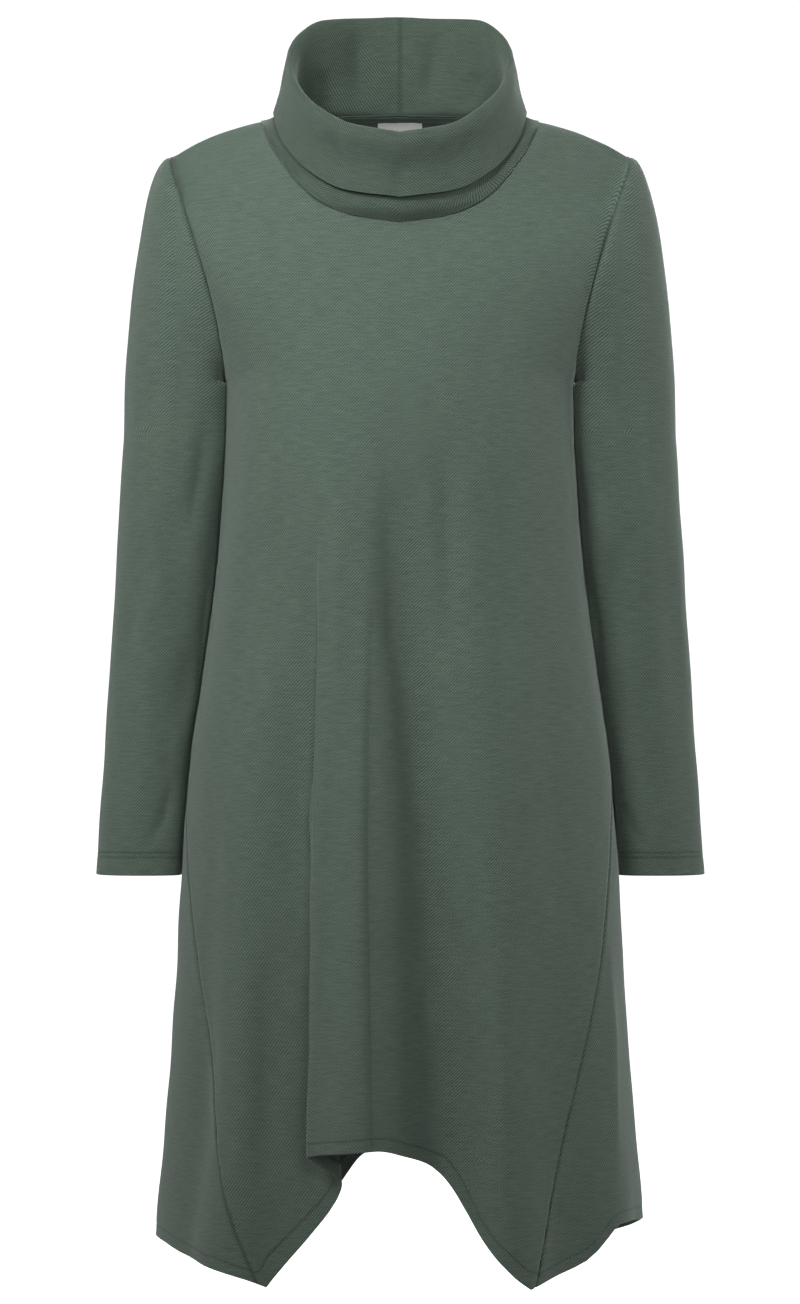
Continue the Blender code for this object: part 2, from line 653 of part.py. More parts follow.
def row_at(grid, column, distance):
    """Row, not always a whole one, at a distance down a grid's column."""
    for i in range(grid.shape[0] - 1):
        step = float(np.linalg.norm(place_on(grid, i + 1, column) - place_on(grid, i, column)))
        if distance <= step:
            return i + distance / step
        distance -= step
    return grid.shape[0] - 1.0


def inside_strip(back, normals, columns, distances, depth):
    """Grid laid on the back's inside, at distances below its neckline; rows of the back are kept."""
    grid = np.zeros((len(distances), len(columns), 3))
    facing = np.zeros_like(grid)
    for j, column in enumerate(columns):
        for i, distance in enumerate(distances):
            row = row_at(back, column, distance)
            grid[i, j] = place_on(back, row, column)
            facing[i, j] = place_on(normals, row, column)
    facing /= np.linalg.norm(facing, axis=2, keepdims=True)
    return grid - facing * depth, facing


def cloth_material(name, colour, roughness):
    """Plain dyed cloth."""
    material = bpy.data.materials.new(name)
    material.use_nodes = True
    shader = material.node_tree.nodes["Principled BSDF"]
    shader.inputs["Base Color"].default_value = colour
    shader.inputs["Roughness"].default_value = roughness
    shader.inputs["Metallic"].default_value = 0.0
    return material


def clear_scene():
    """Start from an empty scene."""
    for item in list(bpy.data.objects):
        bpy.data.objects.remove(item, do_unlink=True)


def main():
    clear_scene()
    front = panel_grid(True)
    back = panel_grid(False)
    grids = {
        "front": (front, False),
        "back": (back, False),
        "gore_left": (gore_grid(1), False),
        "gore_right": (gore_grid(-1), False),
        "sleeve_left": (sleeve_grid(1, front, back), True),
        "sleeve_right": (sleeve_grid(-1, front, back), True),
        "collar": (collar_grid(front, back), True),
    }
    sheets = {name: (grid, grid_normals(grid, around), around)
              for name, (grid, around) in grids.items()}
    for name, (grid, normals, _) in sheets.items():
        middle = grid.reshape(-1, 3).mean(axis=0)
        row = 1 if name == "collar" else grid.shape[0] // 2
        facing = np.sum((grid[row] - middle) * normals[row])
        if facing < 0:
            normals *= -1.0
    mitre_seams(sheets)
    part_seams(sheets)
    for name, (grid, normals, around) in sheets.items():
        thickness = COLLAR_CLOTH if name == "collar" else CLOTH
        material = cloth_material(name + "_jersey", GREEN, 0.8)
        wall(name, grid, normals, thickness, material, around)
    back_normals = sheets["back"][1]
    middle = back.shape[1] // 2
    ends = (SHOULDER_COLUMNS, back.shape[1] - 1 - SHOULDER_COLUMNS)
    tape_columns = list(range(ends[0] + TAPE_INSET, ends[1] - TAPE_INSET + 1))
    tape_depth = CLOTH / 2 + LAID_GAP + TAPE_CLOTH / 2
    distances = (TAPE_DROP, TAPE_DROP + TAPE_WIDTH / 2, TAPE_DROP + TAPE_WIDTH)
    tape, tape_normals = inside_strip(back, back_normals, tape_columns, distances, tape_depth)
    wall("neck_tape", tape, tape_normals, TAPE_CLOTH, cloth_material("tape", GREEN_TAPE, 0.85))
    half = LABEL_WIDTH / 2 / abs(back[1, middle + 1, 0] - back[1, middle, 0])
    label_top = TAPE_DROP + TAPE_WIDTH + SEAM_GAP
    first_row = float(np.linalg.norm(back[1, middle] - back[0, middle]))
    distances = (label_top, first_row, label_top + LABEL_LENGTH)
    label_depth = CLOTH / 2 + LAID_GAP + LABEL_CLOTH / 2
    label_columns = (middle - half, middle, middle + half)
    label, label_normals = inside_strip(back, back_normals, label_columns, distances, label_depth)
    wall("label", label, label_normals, LABEL_CLOTH, cloth_material("label_satin", LABEL_GREY, 0.6))


main()
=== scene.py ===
"""Dressed model of the turtleneck dress, in heavy twill jersey, filled out with nobody in it.

Every piece stands on the same named sizes and tables as the solids, with many more points, and gets
its finer creases, seams, hems, stitches and cloth here. Metres, +Z up, front towards -Y.
"""

import math

import bmesh
import bpy
import numpy as np
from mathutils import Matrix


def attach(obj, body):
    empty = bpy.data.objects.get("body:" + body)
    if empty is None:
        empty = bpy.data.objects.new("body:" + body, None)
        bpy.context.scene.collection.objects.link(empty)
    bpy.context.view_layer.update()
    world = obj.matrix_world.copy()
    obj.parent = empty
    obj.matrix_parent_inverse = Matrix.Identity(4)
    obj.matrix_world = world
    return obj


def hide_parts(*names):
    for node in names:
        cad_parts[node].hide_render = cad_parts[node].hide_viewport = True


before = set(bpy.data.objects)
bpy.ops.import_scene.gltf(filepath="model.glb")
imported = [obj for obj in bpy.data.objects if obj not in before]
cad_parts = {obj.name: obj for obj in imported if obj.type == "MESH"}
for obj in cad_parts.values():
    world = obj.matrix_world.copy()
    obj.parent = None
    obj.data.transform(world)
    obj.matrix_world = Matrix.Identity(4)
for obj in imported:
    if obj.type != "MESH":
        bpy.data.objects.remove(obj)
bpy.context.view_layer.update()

# Cloth
CLOTH = 0.0014             # wall of a single layer of heavy jersey
COLLAR_CLOTH = 0.0028      # the collar is cut double
TAPE_CLOTH = 0.0009
LABEL_CLOTH = 0.0006
SEAM_GAP = 0.0003          # between two pieces
LAID_GAP = 0.0004          # under the tape and the label, which lie on the back's inside

# Neck, shoulder and armhole
NECK_HALF = 0.115          # side neck point from the middle
NECK_TOP = -0.0025         # height of the side neck point
TIP_HALF = 0.190           # shoulder tip from the middle
TIP_TOP = -0.031
UNDERARM = -0.217          # height of the underarm point
ARMHOLE_DEPTH = 0.055      # the armhole's reach to the front and to the back
RIDGE_SLOPE = 0.20         # shoulder line beside the neck
RIDGE_CURVE = 2.4          # its droop towards the tip, per metre
NECK_RISE = 0.0285         # rise of the same line, carried on inside the neck, to the middle
NECK_RISE_POWER = 2.8
ROUNDING = 0.065           # drop over which chest and back round out from the shoulder line
ARMHOLE_EDGE = 0.5         # how steeply the armhole's reach starts and ends
ARMHOLE_FADE = 2.0         # how fast it fades towards the middle of the chest
SQUARE_TOP = -0.060        # height where the section starts to turn from squarish to rounded
SQUARE_POWER = 2.6
ROUND_POWER = 2.2
FOLD_GROWTH = 1.0          # how the folds, and the laps, deepen on their way down
LAP_GROWTH = 1.25

# Gores let into the side seams
GORE_TOP = -0.530
GORE_LOW = -0.969
GORE_SPREAD = 59.5         # degrees from the side seam to each gore seam at the points
GORE_CURVE = 0.75
LEFT_SEAM_TURN = 4.0       # degrees that the seam on the -X side hangs towards the back

# Guide columns that the panels' columns follow, in degrees, and the stretch where they turn to them
GUIDES_START = -0.25
GUIDES_RUN = 0.35
FLUTE_GUIDE = 27.5         # left of the flute
VALLEY_GUIDE_TOP = -4.0
VALLEY_GUIDE_LOW = -1.0
RIGHT_GUIDE = 22.0
BACK_GUIDE = 24.0
FLUTE_CROWD = 0.35         # columns crowd towards the flute's edge by this much

# Sleeve
CUFF = -0.627
CAP_END = -0.262           # height where the sleeve is a full tube
SLEEVE_CLEAR = 0.0028      # cloth to cloth between sleeve and side, at the wall's middle
UNDERARM_EASE = 0.0006     # more of it just below the underarm
UNDERARM_BRIDGE = 0.0035   # the sleeve's first step away from the underarm
UNDERARM_FADE = 0.10       # height over which the ease below the underarm goes
SLEEVE_TOUCH = 0.5         # where sleeve and side are nearest, as a share of the sleeve's place behind
TIP_BRIDGE = 0.0010        # more of that first step at the shoulder tip
CAP_OUT = 0.90             # way that the cap leaves the armhole at the shoulder tip: out, down
CAP_DOWN = 0.50
CAP_IN = 0.22              # and at its front and back: towards the middle, down
CAP_SIDE_DOWN = 0.55
CAP_LEAD = 0.003           # how far it keeps that way, at the underarm and more at the tip
CAP_LEAD_TIP = 0.019
CAP_UNDER_DOWN = 0.55      # and at the underarm: down, and towards the back
CAP_UNDER_BACK = 0.30
CAP_LEAD_POWER = 1.3
CAP_LIFT = 0.40            # how far it comes into the tube from above, as a share of its span
CAP_LIFT_IN = 0.006

# Middle that the collar's columns are spread from: reach to the front and to the back
COLLAR_SPREAD_FRONT = 0.080
COLLAR_SPREAD_BACK = 0.065

# Neck tape and label
TAPE_DROP = 0.0012         # from the neck seam to the tape's upper edge
TAPE_WIDTH = 0.0085
LABEL_WIDTH = 0.034
LABEL_LENGTH = 0.026
LABEL_HANG = 0.25          # share of its length by which its lower end hangs clear of the back

# Body sections: height, half width, reach to the front, reach to the back
SECTIONS = [
    (0.012, 0.1900, 0.058, 0.099),
    (-0.031, 0.1900, 0.064, 0.101),
    (-0.071, 0.1790, 0.076, 0.104),
    (-0.098, 0.1707, 0.086, 0.106),
    (-0.121, 0.1632, 0.0955, 0.1075),
    (-0.150, 0.1550, 0.1055, 0.1085),
    (-0.180, 0.1482, 0.1135, 0.1087),
    (-0.217, 0.1436, 0.1200, 0.1080),
    (-0.250, 0.1434, 0.1236, 0.1070),
    (-0.285, 0.1446, 0.1250, 0.1062),
    (-0.330, 0.1475, 0.1248, 0.1062),
    (-0.361, 0.1500, 0.1243, 0.1075),
    (-0.412, 0.1560, 0.125, 0.112),
    (-0.481, 0.1660, 0.129, 0.121),
    (-0.531, 0.1730, 0.133, 0.128),
    (-0.628, 0.1805, 0.140, 0.138),
    (-0.730, 0.1860, 0.146, 0.146),
    (-0.813, 0.1920, 0.151, 0.152),
    (-0.908, 0.2000, 0.156, 0.158),
    (-0.975, 0.2040, 0.158, 0.160),
]

# Neckline: distance from the middle, height at the front, height at the back
NECKLINE = [
    (0.000, -0.0896, 0.0100),
    (0.040, -0.0835, 0.0090),
    (0.069, -0.0705, 0.0068),
    (0.087, -0.0530, 0.0045),
    (0.096, -0.0406, 0.0030),
    (0.1035, -0.0291, 0.0010),
    (0.1105, -0.0146, -0.0010),
    (0.115, -0.0025, -0.0025),
]

# Hem round the skirt: angle, height
HEM = [
    (-180.0, -0.862), (-171.0, -0.870), (-164.0, -0.898), (-158.5, -0.930), (-153.5, -0.956),
    (-146.0, -0.949), (-130.0, -0.940), (-110.0, -0.932), (-90.0, -0.9250), (-80.0, -0.9262),
    (-66.0, -0.9330), (-52.0, -0.9390), (-44.0, -0.9430), (-39.0, -0.9485), (-34.5, -0.956),
    (-33.0, -0.9427), (-31.0, -0.9230), (-29.0, -0.9022), (-27.0, -0.8840), (-25.0, -0.8700),
    (-23.0, -0.8600), (-19.0, -0.8482), (-11.0, -0.8444), (-4.0, -0.8425), (2.0, -0.8486),
    (8.0, -0.8560), (11.0, -0.8634), (14.0, -0.8768), (17.0, -0.8958), (20.0, -0.9160),
    (23.0, -0.9326), (26.5, -0.9465), (30.5, -0.956),
    (34.0, -0.9525), (39.0, -0.9478), (44.0, -0.9430), (49.0, -0.9363), (54.0, -0.9235),
    (58.0, -0.9115), (62.0, -0.9078), (67.0, -0.9078), (90.0, -0.9118), (110.0, -0.925),
    (130.0, -0.940), (142.0, -0.949), (149.5, -0.956),
    (154.5, -0.930), (162.0, -0.898), (170.0, -0.870), (180.0, -0.862),
]
HEM_POINTS = (-153.5, -34.5, 30.5, 149.5)      # angles where the hem comes to a point

# Folds of the skirt, crests and valleys in turn: name, angle where it starts, angle at the hem,
# millimetres outward, height where it starts
FOLDS = [
    ("back middle crest", -180, -180, 10, -0.34),
    ("back left valley", -163, -166, -8, -0.38),
    ("back left flute", -140, -143, 11, -0.36),
    ("left rear valley", -118, -120, -5, -0.46),
    ("left side crest", -93, -93, 1, -0.56),
    ("left front valley", -58, -62, -5, -0.50),
    ("left front crest", -46, -44, 9, -0.40),
    ("behind the flute", -34, -29.5, -20, -0.36),
    ("flute crest", -18, -18, 13, -0.26),
    ("flute edge on the right", -9.5, -9, 25, -0.28),
    ("front valley", 3, 12, -26, -0.23),
    ("right front crest", 28, 27, 7, -0.34),
    ("right gore valley", 46, 42, -6, -0.46),
    ("right gore crest", 62, 59, 6, -0.56),
    ("right side valley", 78, 78, -1, -0.60),
    ("right side crest", 97, 97, 2, -0.56),
    ("right rear valley", 120, 122, -6, -0.46),
    ("back right flute", 142, 144, 10, -0.38),
    ("back right valley", 162, 164, -8, -0.40),
    ("back middle crest", 180, 180, 10, -0.34),
]
FOLD_FULL = -0.900         # height where the folds have their full depth

# Overlap at the flute's left edge: name, angle where it starts, angle at the hem, millimetres
# that the cloth is pushed towards +X, height where it starts
LAPS = [
    ("left of the flute", -46, -35, 0, -0.42),
    ("turn behind the flute", -31, -25.5, 35, -0.42),
    ("flute edge", -23, -18, -9, -0.38),
    ("right of the flute", 0, 0, 0, -0.38),
]

# Sleeve below the cap: height, outer edge from the middle, half depth, middle behind the side seam
SLEEVE_SECTIONS = [
    (-0.262, 0.2297, 0.0570, 0.025),
    (-0.361, 0.2357, 0.0540, 0.031),
    (-0.430, 0.2400, 0.0505, 0.034),
    (-0.481, 0.2436, 0.0480, 0.035),
    (-0.531, 0.2467, 0.0460, 0.034),
    (-0.577, 0.2498, 0.0430, 0.031),
    (-0.627, 0.2530, 0.0400, 0.028),
]

# Sleeve creases: side (-1 or 1), height, degrees round from outside, half length, half width in
# degrees, depth in millimetres (troughs are below zero)
SLEEVE_CREASES = [
    (-1, -0.415, 52, 0.075, 26, -3.0), (-1, -0.300, 70, 0.060, 24, 2.0),
    (-1, -0.470, 120, 0.050, 34, -3.5), (-1, -0.420, 235, 0.060, 30, -3.0),
    (1, -0.420, 50, 0.080, 24, -2.6), (1, -0.330, 75, 0.070, 24, 1.8),
    (1, -0.480, 122, 0.050, 34, -3.2), (1, -0.400, 240, 0.060, 30, -2.8),
]

# Collar profile from the neck seam over the top fold to the free edge, at the wall's middle:
# name, half width, reach to the front, reach to the back, heights at COLLAR_ANGLES
COLLAR_ANGLES = (0, 25, 45, 65, 90, 115, 136, 180)
COLLAR_PROFILE = [
    ("stand low", 0.1028, 0.0915, 0.066,
     (-0.0790, -0.0725, -0.0545, -0.0265, 0.0012, 0.0085, 0.0135, 0.0190)),
    ("stand middle", 0.0925, 0.0830, 0.068,
     (-0.0560, -0.0500, -0.0340, -0.0120, 0.0105, 0.0300, 0.0420, 0.0500)),
    ("stand high", 0.0880, 0.0880, 0.072,
     (-0.0300, -0.0230, -0.0070, 0.0130, 0.0400, 0.0635, 0.0770, 0.0825)),
    ("top fold", 0.0920, 0.0975, 0.0755,
     (-0.0195, -0.0125, 0.0030, 0.0225, 0.0490, 0.0735, 0.0870, 0.0925)),
    ("turned high", 0.0955, 0.1046, 0.079,
     (-0.0275, -0.0205, -0.0050, 0.0145, 0.0410, 0.0640, 0.0770, 0.0820)),
    ("turned middle", 0.0990, 0.0964, 0.082,
     (-0.0490, -0.0420, -0.0270, -0.0055, 0.0230, 0.0360, 0.0450, 0.0520)),
    ("free edge", 0.1042, 0.0962, 0.081,
     (-0.0710, -0.0645, -0.0480, -0.0240, 0.0055, 0.0110, 0.0165, 0.0240)),
]

# Finer creases of the dressed cloth: what it is, piece, the way it faces (-1 front, 1 back),
# millimetres outward (troughs are below zero), reach to -X and to +X in millimetres, and its line
# as (from the middle, height) in millimetres. Pieces named body are the front, back and gores.
CREASES = [
    ("left of the flute's edge", "body", -1, -9.0, 18, 2.5,
     ((-66, -310), (-70, -420), (-74, -540), (-76, -690))),
    ("flute's right edge", "body", -1, -6.5, 4.2, 18.0,
     ((-18, -310), (-24.5, -480), (-24.5, -606), (-21, -800), (-17, -1100))),
    ("valley beside the flute", "body", -1, -9.5, 15, 28,
     ((-14, -220), (-5, -390), (11, -500), (24, -620), (34, -740))),
    ("lower right valley", "body", -1, -9.0, 26, 18,
     ((22, -540), (38, -660), (50, -760), (58, -960))),
    ("ridge of the flute", "body", -1, 4.6, 12, 14, ((-50, -260), (-50, -400), (-50, -560))),
    ("left trough", "body", -1, -5.4, 9, 11, ((-98, -290), (-103, -380), (-106, -480))),
    ("left fine trough", "body", -1, -3.0, 6, 7, ((-122, -330), (-128, -420), (-130, -520))),
    ("right fine trough", "body", -1, -4.2, 11, 14, ((36, -240), (38, -350), (42, -460))),
    ("right trough", "body", -1, -4.0, 9, 9, ((80, -260), (84, -370), (86, -490))),
    ("right flank trough", "body", -1, -3.4, 8, 12, ((118, -420), (124, -560), (128, -700))),
    ("right gore ridge", "body", -1, 3.1, 3.5, 3.5, ((171, -660), (174, -780), (176, -905))),
    ("right front ridge", "body", -1, 4.1, 8, 9, ((78, -690), (81, -800), (83, -940))),
    ("left front trough", "body", -1, -4.1, 12, 12, ((-104, -640), (-106, -760), (-110, -900))),
    ("left gore trough", "body", -1, -3.4, 12, 10, ((-152, -700), (-158, -820), (-160, -930))),
    ("chest pull, left", "body", -1, -1.4, 9, 9, ((-92, -120), (-70, -190), (-62, -250))),
    ("chest pull, right", "body", -1, -1.4, 9, 9, ((96, -130), (72, -200), (62, -260))),
    ("back valley", "body", 1, -6.8, 16, 18, ((8, -270), (-6, -400), (-18, -560), (-24, -700))),
    ("back left trough", "body", 1, -3.7, 9, 12, ((64, -300), (70, -420), (76, -560))),
    ("back left ridge", "body", 1, 3.7, 10, 10, ((98, -420), (108, -600), (116, -800))),
    ("back right trough", "body", 1, -4.4, 10, 9, ((-78, -310), (-84, -430), (-90, -600))),
    ("back right edge", "body", 1, -4.1, 5, 2.2, ((-44, -400), (-50, -560), (-54, -800))),
    ("back low trough", "body", 1, -5.1, 14, 14, ((34, -600), (42, -740), (48, -860))),
    ("outer sleeve trough, right", "sleeve_right", -1, -5.5, 7, 16,
     ((-205, -165), (-208, -240), (-205, -316), (-186, -375))),
    ("inner sleeve trough, right", "sleeve_right", -1, -4.5, 9, 12,
     ((-158, -230), (-166, -300), (-174, -355))),
    ("elbow, right", "sleeve_right", -1, -5.0, 22, 50,
     ((-190, -270), (-184, -345), (-176, -415), (-170, -500))),
    ("forearm, right", "sleeve_right", -1, -3.0, 12, 15, ((-188, -430), (-190, -520), (-198, -640))),
    ("cuff pull, right", "sleeve_right", -1, -2.0, 5, 5, ((-186, -545), (-196, -580), (-214, -612))),
    ("outer sleeve trough, left", "sleeve_left", -1, -5.0, 14, 7,
     ((203, -180), (207, -250), (206, -316), (194, -360))),
    ("inner sleeve trough, left", "sleeve_left", -1, -4.0, 12, 9,
     ((162, -240), (165.5, -300), (172, -350))),
    ("elbow, left", "sleeve_left", -1, -8.5, 16, 15, ((186, -320), (174, -385), (162, -470))),
    ("forearm, left", "sleeve_left", -1, -3.2, 12, 9, ((198, -450), (204, -520), (208, -590))),
    ("cuff pull, left", "sleeve_left", -1, -2.6, 4, 5, ((182, -560), (190, -585), (204, -606))),
    ("back of the elbow, right", "sleeve_right", 1, -6.0, 10, 12,
     ((-204, -330), (-196, -400), (-200, -460))),
    ("back of the upper arm, right", "sleeve_right", 1, -4.0, 8, 9,
     ((-196, -180), (-204, -260), (-206, -330))),
    ("back of the elbow, left", "sleeve_left", 1, -5.6, 12, 10,
     ((200, -320), (194, -390), (198, -450))),
    ("back of the upper arm, left", "sleeve_left", 1, -4.0, 9, 8,
     ((192, -190), (202, -270), (205, -330))),
    ("inside trough, right", "collar", -1, -6.0, 11, 8, ((-36, 92), (-33, 50), (-30, 12))),
    ("inside trough, left", "collar", -1, -6.0, 8, 11, ((30, 92), (27, 50), (25, 12))),
    ("inside side trough, right", "collar", -1, -4.8, 8, 8, ((-64, 50), (-60, 32), (-56, 6))),
    ("inside side trough, left", "collar", -1, -4.0, 8, 8, ((62, 50), (60, 32), (56, 6))),
    ("turned front, middle", "collar", -1, -2.5, 8, 7, ((2, -34), (1, -55), (0, -78))),
    ("turned front, right", "collar", -1, -2.8, 10, 8, ((-58, -14), (-50, -36), (-44, -58))),
    ("turned front, left", "collar", -1, -3.2, 7, 9, ((56, -10), (50, -36), (44, -58))),
    ("turned back", "collar", 1, -2.0, 10, 10, ((-20, 80), (-16, 55), (-14, 30))),
]


def ease(t):
    """0 to 1 with flat ends."""
    t = np.clip(t, 0.0, 1.0)
    return t * t * (3.0 - 2.0 * t)


def smooth_table(xs, ys, x):
    """Smooth curve through a table, without overshoot (monotone cubic)."""
    xs = np.asarray(xs, float)
    ys = np.asarray(ys, float)
    if xs[0] > xs[-1]:
        xs = xs[::-1]
        ys = ys[::-1]
    step = np.diff(xs)
    slope = np.diff(ys) / step
    tangent = np.zeros_like(ys)
    same_way = slope[:-1] * slope[1:] > 0
    inner = np.where(same_way, 2.0 * slope[:-1] * slope[1:] / (slope[:-1] + slope[1:] + 1e-30), 0.0)
    tangent[1:-1] = inner
    tangent[0] = slope[0]
    tangent[-1] = slope[-1]
    x = np.clip(np.asarray(x, float), xs[0], xs[-1])
    k = np.clip(np.searchsorted(xs, x) - 1, 0, len(xs) - 2)
    t = (x - xs[k]) / step[k]
    rise = ys[k + 1] - ys[k]
    return (ys[k] + rise * t * t * (3 - 2 * t)
            + step[k] * (tangent[k] * t * (1 - t) ** 2 - tangent[k + 1] * t * t * (1 - t)))


def from_table(table, column, x):
    """Smooth curve through a column of a table, over its first column."""
    return smooth_table([row[0] for row in table], [row[column] for row in table], x)


def section(column, height):
    """Half width (1), front reach (2) or back reach (3) of the body at a height."""
    return from_table(SECTIONS, column, height)


def ridge(x):
    """Height of the shoulder line at a distance from the middle."""
    beyond = np.maximum(np.abs(x) - NECK_HALF, 0.0)
    inside = np.minimum(np.abs(x) / NECK_HALF, 1.0)
    rise = NECK_RISE * (1.0 - inside ** NECK_RISE_POWER)
    return NECK_TOP - RIDGE_SLOPE * beyond - RIDGE_CURVE * beyond ** 2 + rise


def armhole_reach(height, share):
    """How far the armhole holds the cloth to the front, or to the back, at a height."""
    middle = (TIP_TOP + UNDERARM) / 2
    half = (TIP_TOP - UNDERARM) / 2
    level = np.clip(1.0 - ((height - middle) / half) ** 2, 0.0, 1.0)
    softer = ARMHOLE_EDGE + ARMHOLE_FADE * np.sqrt(np.clip(1.0 - np.abs(share), 0.0, 1.0))
    return ARMHOLE_DEPTH * level ** softer


def wave_between(rows, angle, height, power):
    """Smooth wave through rows of (name, top angle, hem angle, millimetres, start height)."""
    knots = []
    for _, top_angle, hem_angle, size, start in rows:
        grown = np.clip((start - height) / (start - FOLD_FULL), 0.0, 1.0)
        knots.append((top_angle + (hem_angle - top_angle) * grown, 0.001 * size * grown ** power))
    wave = knots[0][1]
    for (angle0, size0), (angle1, size1) in zip(knots, knots[1:]):
        wave = wave + (size1 - size0) * ease((angle - angle0) / (angle1 - angle0))
    return wave


def turned_angle(angle):
    """The same angle between -180 and 180 degrees."""
    return (np.asarray(angle, float) + 180.0) % 360.0 - 180.0


def body_point(angle, height, to_front=None):
    """Point of the body's cloth at an angle round it, in degrees, and a height.

    At the sides, to_front says which edge of the armhole is meant.
    """
    angle = turned_angle(angle)
    height = np.asarray(height, float)
    turn = np.radians(angle)
    share = np.sin(turn)
    x = section(1, height) * share
    front = np.cos(turn) >= 0 if to_front is None else to_front
    reach = np.where(front, section(2, height), section(3, height))
    drop = np.clip((ridge(x) - height) / ROUNDING, 0.0, 1.0)
    full = reach * np.sqrt(1.0 - (1.0 - drop) ** 2)
    side = armhole_reach(height, share)
    low = ease((SQUARE_TOP - height) / (SQUARE_TOP - UNDERARM))
    power = SQUARE_POWER + (ROUND_POWER - SQUARE_POWER) * low
    root = 1.0 + (1.0 / ROUND_POWER - 1.0) * low
    fill = np.clip(1.0 - np.abs(share) ** power, 0.0, 1.0) ** root
    y = np.where(front, -1.0, 1.0) * (side + (full - side) * fill)
    out = wave_between(FOLDS, angle, height, FOLD_GROWTH)
    along = wave_between(LAPS, angle, height, LAP_GROWTH)
    x = x + out * np.sin(turn) + along
    y = y - out * np.cos(turn)
    return np.stack(np.broadcast_arrays(x, y, height), axis=-1)


def gore_angle(height):
    """Degrees from the side seam to a gore's seams."""
    down = np.clip((GORE_TOP - height) / (GORE_TOP - GORE_LOW), 0.0, 2.0)
    return GORE_SPREAD * down ** GORE_CURVE


def side_seam(side, height):
    """Angle of a side seam; on the -X side it hangs a little to the back."""
    if side > 0:
        return 90.0 + 0.0 * np.asarray(height, float)
    return -90.0 - LEFT_SEAM_TURN * ease((UNDERARM - height) / (UNDERARM - GORE_TOP))


def hem_height(angle):
    """Height of the hem at an angle."""
    angle = turned_angle(angle)
    height = np.zeros_like(angle)
    ends = (-180.0,) + HEM_POINTS + (180.0,)
    for low, high in zip(ends, ends[1:]):
        between = from_table([row for row in HEM if low <= row[0] <= high], 1, angle)
        height = np.where((angle >= low) & (angle <= high), between, height)
    return height


# Rows and columns of the dressed grids, as shares of the pattern's own guides
SIDES = ((1, "left"), (-1, "right"))
SETTLING_ROUNDS = 40       # rounds that find where a column meets the neckline or the hem
NEAR_SEAM = (0.0, 0.02, 0.045, 0.075, 0.11, 0.15)      # close columns beside a sewn edge
TOP_STEPS = 64
MIDDLE_STEPS = 78
LOWER_STEPS = 92
SHOULDER_STEPS = 20
FLUTE_STEPS = 62
RIGHT_STEPS = 34
BACK_STEPS = 30
GORE_STEPS = 44
CAP_STEPS = 36
TUBE_STEPS = 92
COLLAR_STEPS = 96
HEM_OFFSETS = (0.0220, 0.0185, 0.0155, 0.0132, 0.0116, 0.0108, 0.0104, 0.0100, 0.0096, 0.0092, 0.0084,
               0.0068, 0.0050, 0.0034, 0.0022, 0.0014, 0.0009, 0.0005, 0.0002, 0.0)
HEM_ROW = HEM_OFFSETS.index(0.0100)    # the row that the hem's stitches follow
CUFF_OFFSETS = (0.0300, 0.0260, 0.0230, 0.0210, 0.0200, 0.0195, 0.0190, 0.0185, 0.0178, 0.0170, 0.0162,
                0.0155, 0.0150, 0.0145, 0.0136, 0.0120, 0.0095, 0.0070, 0.0048, 0.0030, 0.0018, 0.0010,
                0.0005, 0.0002, 0.0)
CUFF_ROWS = (CUFF_OFFSETS.index(0.0190), CUFF_OFFSETS.index(0.0150))
HEM_STEEPEST = 1.9         # most that a slanting hem lengthens the rows' drop
HEM_AT_POINTS = 1.35       # the same at the hem's points

# Sleeve beside the body
INNER_POWER = 3.2          # how square the sleeve lies beside the body; 2 is a plain ellipse
SLEEVE_DRAW = 0.0055       # how far the sleeve's inside is drawn to the side below the underarm
SLEEVE_APART = 0.0010      # least gap between sleeve and side there
DRAW_START = 0.0003        # from the underarm to where it starts, and the drop over which it grows
DRAW_GROWTH = 0.004
DRAW_END = -0.340          # height where it is over, and the height over which it fades
DRAW_FADE = 0.090
DRAW_FACING = 0.8          # cosine towards the side at which it is full
PUSH_MOST = 0.004          # most that the sleeve is pushed out instead

# Finer creases
CREASE_WANDER = 8          # most, in millimetres, that a crease's line wanders
CREASE_FADE = 0.42         # share of a crease's length over which each end fades
CREASE_FACING = 0.45       # cosine towards the front or the back at which it is full
CREASE_POWER = 1.6         # roundness of its section

# Seams
SCENE_GAP = 0.00002        # between the cloth of two sewn pieces
SEAM_DITCH = 0.00105       # depth of a seam's line in the cloth
SEAM_WIDTH = 0.0016        # half width of that line
SEAM_SHADE = 0.0012        # reach of the painted shade that darkens the cloth's colour in a seam's line
INSIDE_DITCH = 0.6         # the collar's seam is seen from inside: its ditch and shade, as shares
INSIDE_SHADE = 0.6
STITCH_SHADE = 0.9         # the same along a row of stitches, as a share
ALLOWANCE = 0.0070         # seam allowance pressed open behind each edge
ALLOWANCE_RISE = 0.00022
ALLOWANCE_START = 0.0008   # from the seam's line to where it starts to show
ALLOWANCE_RUN = 0.0018
ALLOWANCE_END = 0.0022
PUCKER = 0.35              # how much a seam's ditch changes along it, as a share
BESIDE_RISE = 0.00022      # uneven cloth beside a seam, and how far it reaches
BESIDE_REACH = 0.014
SOFT_RISE = 0.00045        # uneven cloth away from the seams, and how far from them it starts
SOFT_START = 0.020
MITRE_LEAST = 0.62         # least cosine that a seam's mitre is worked out for

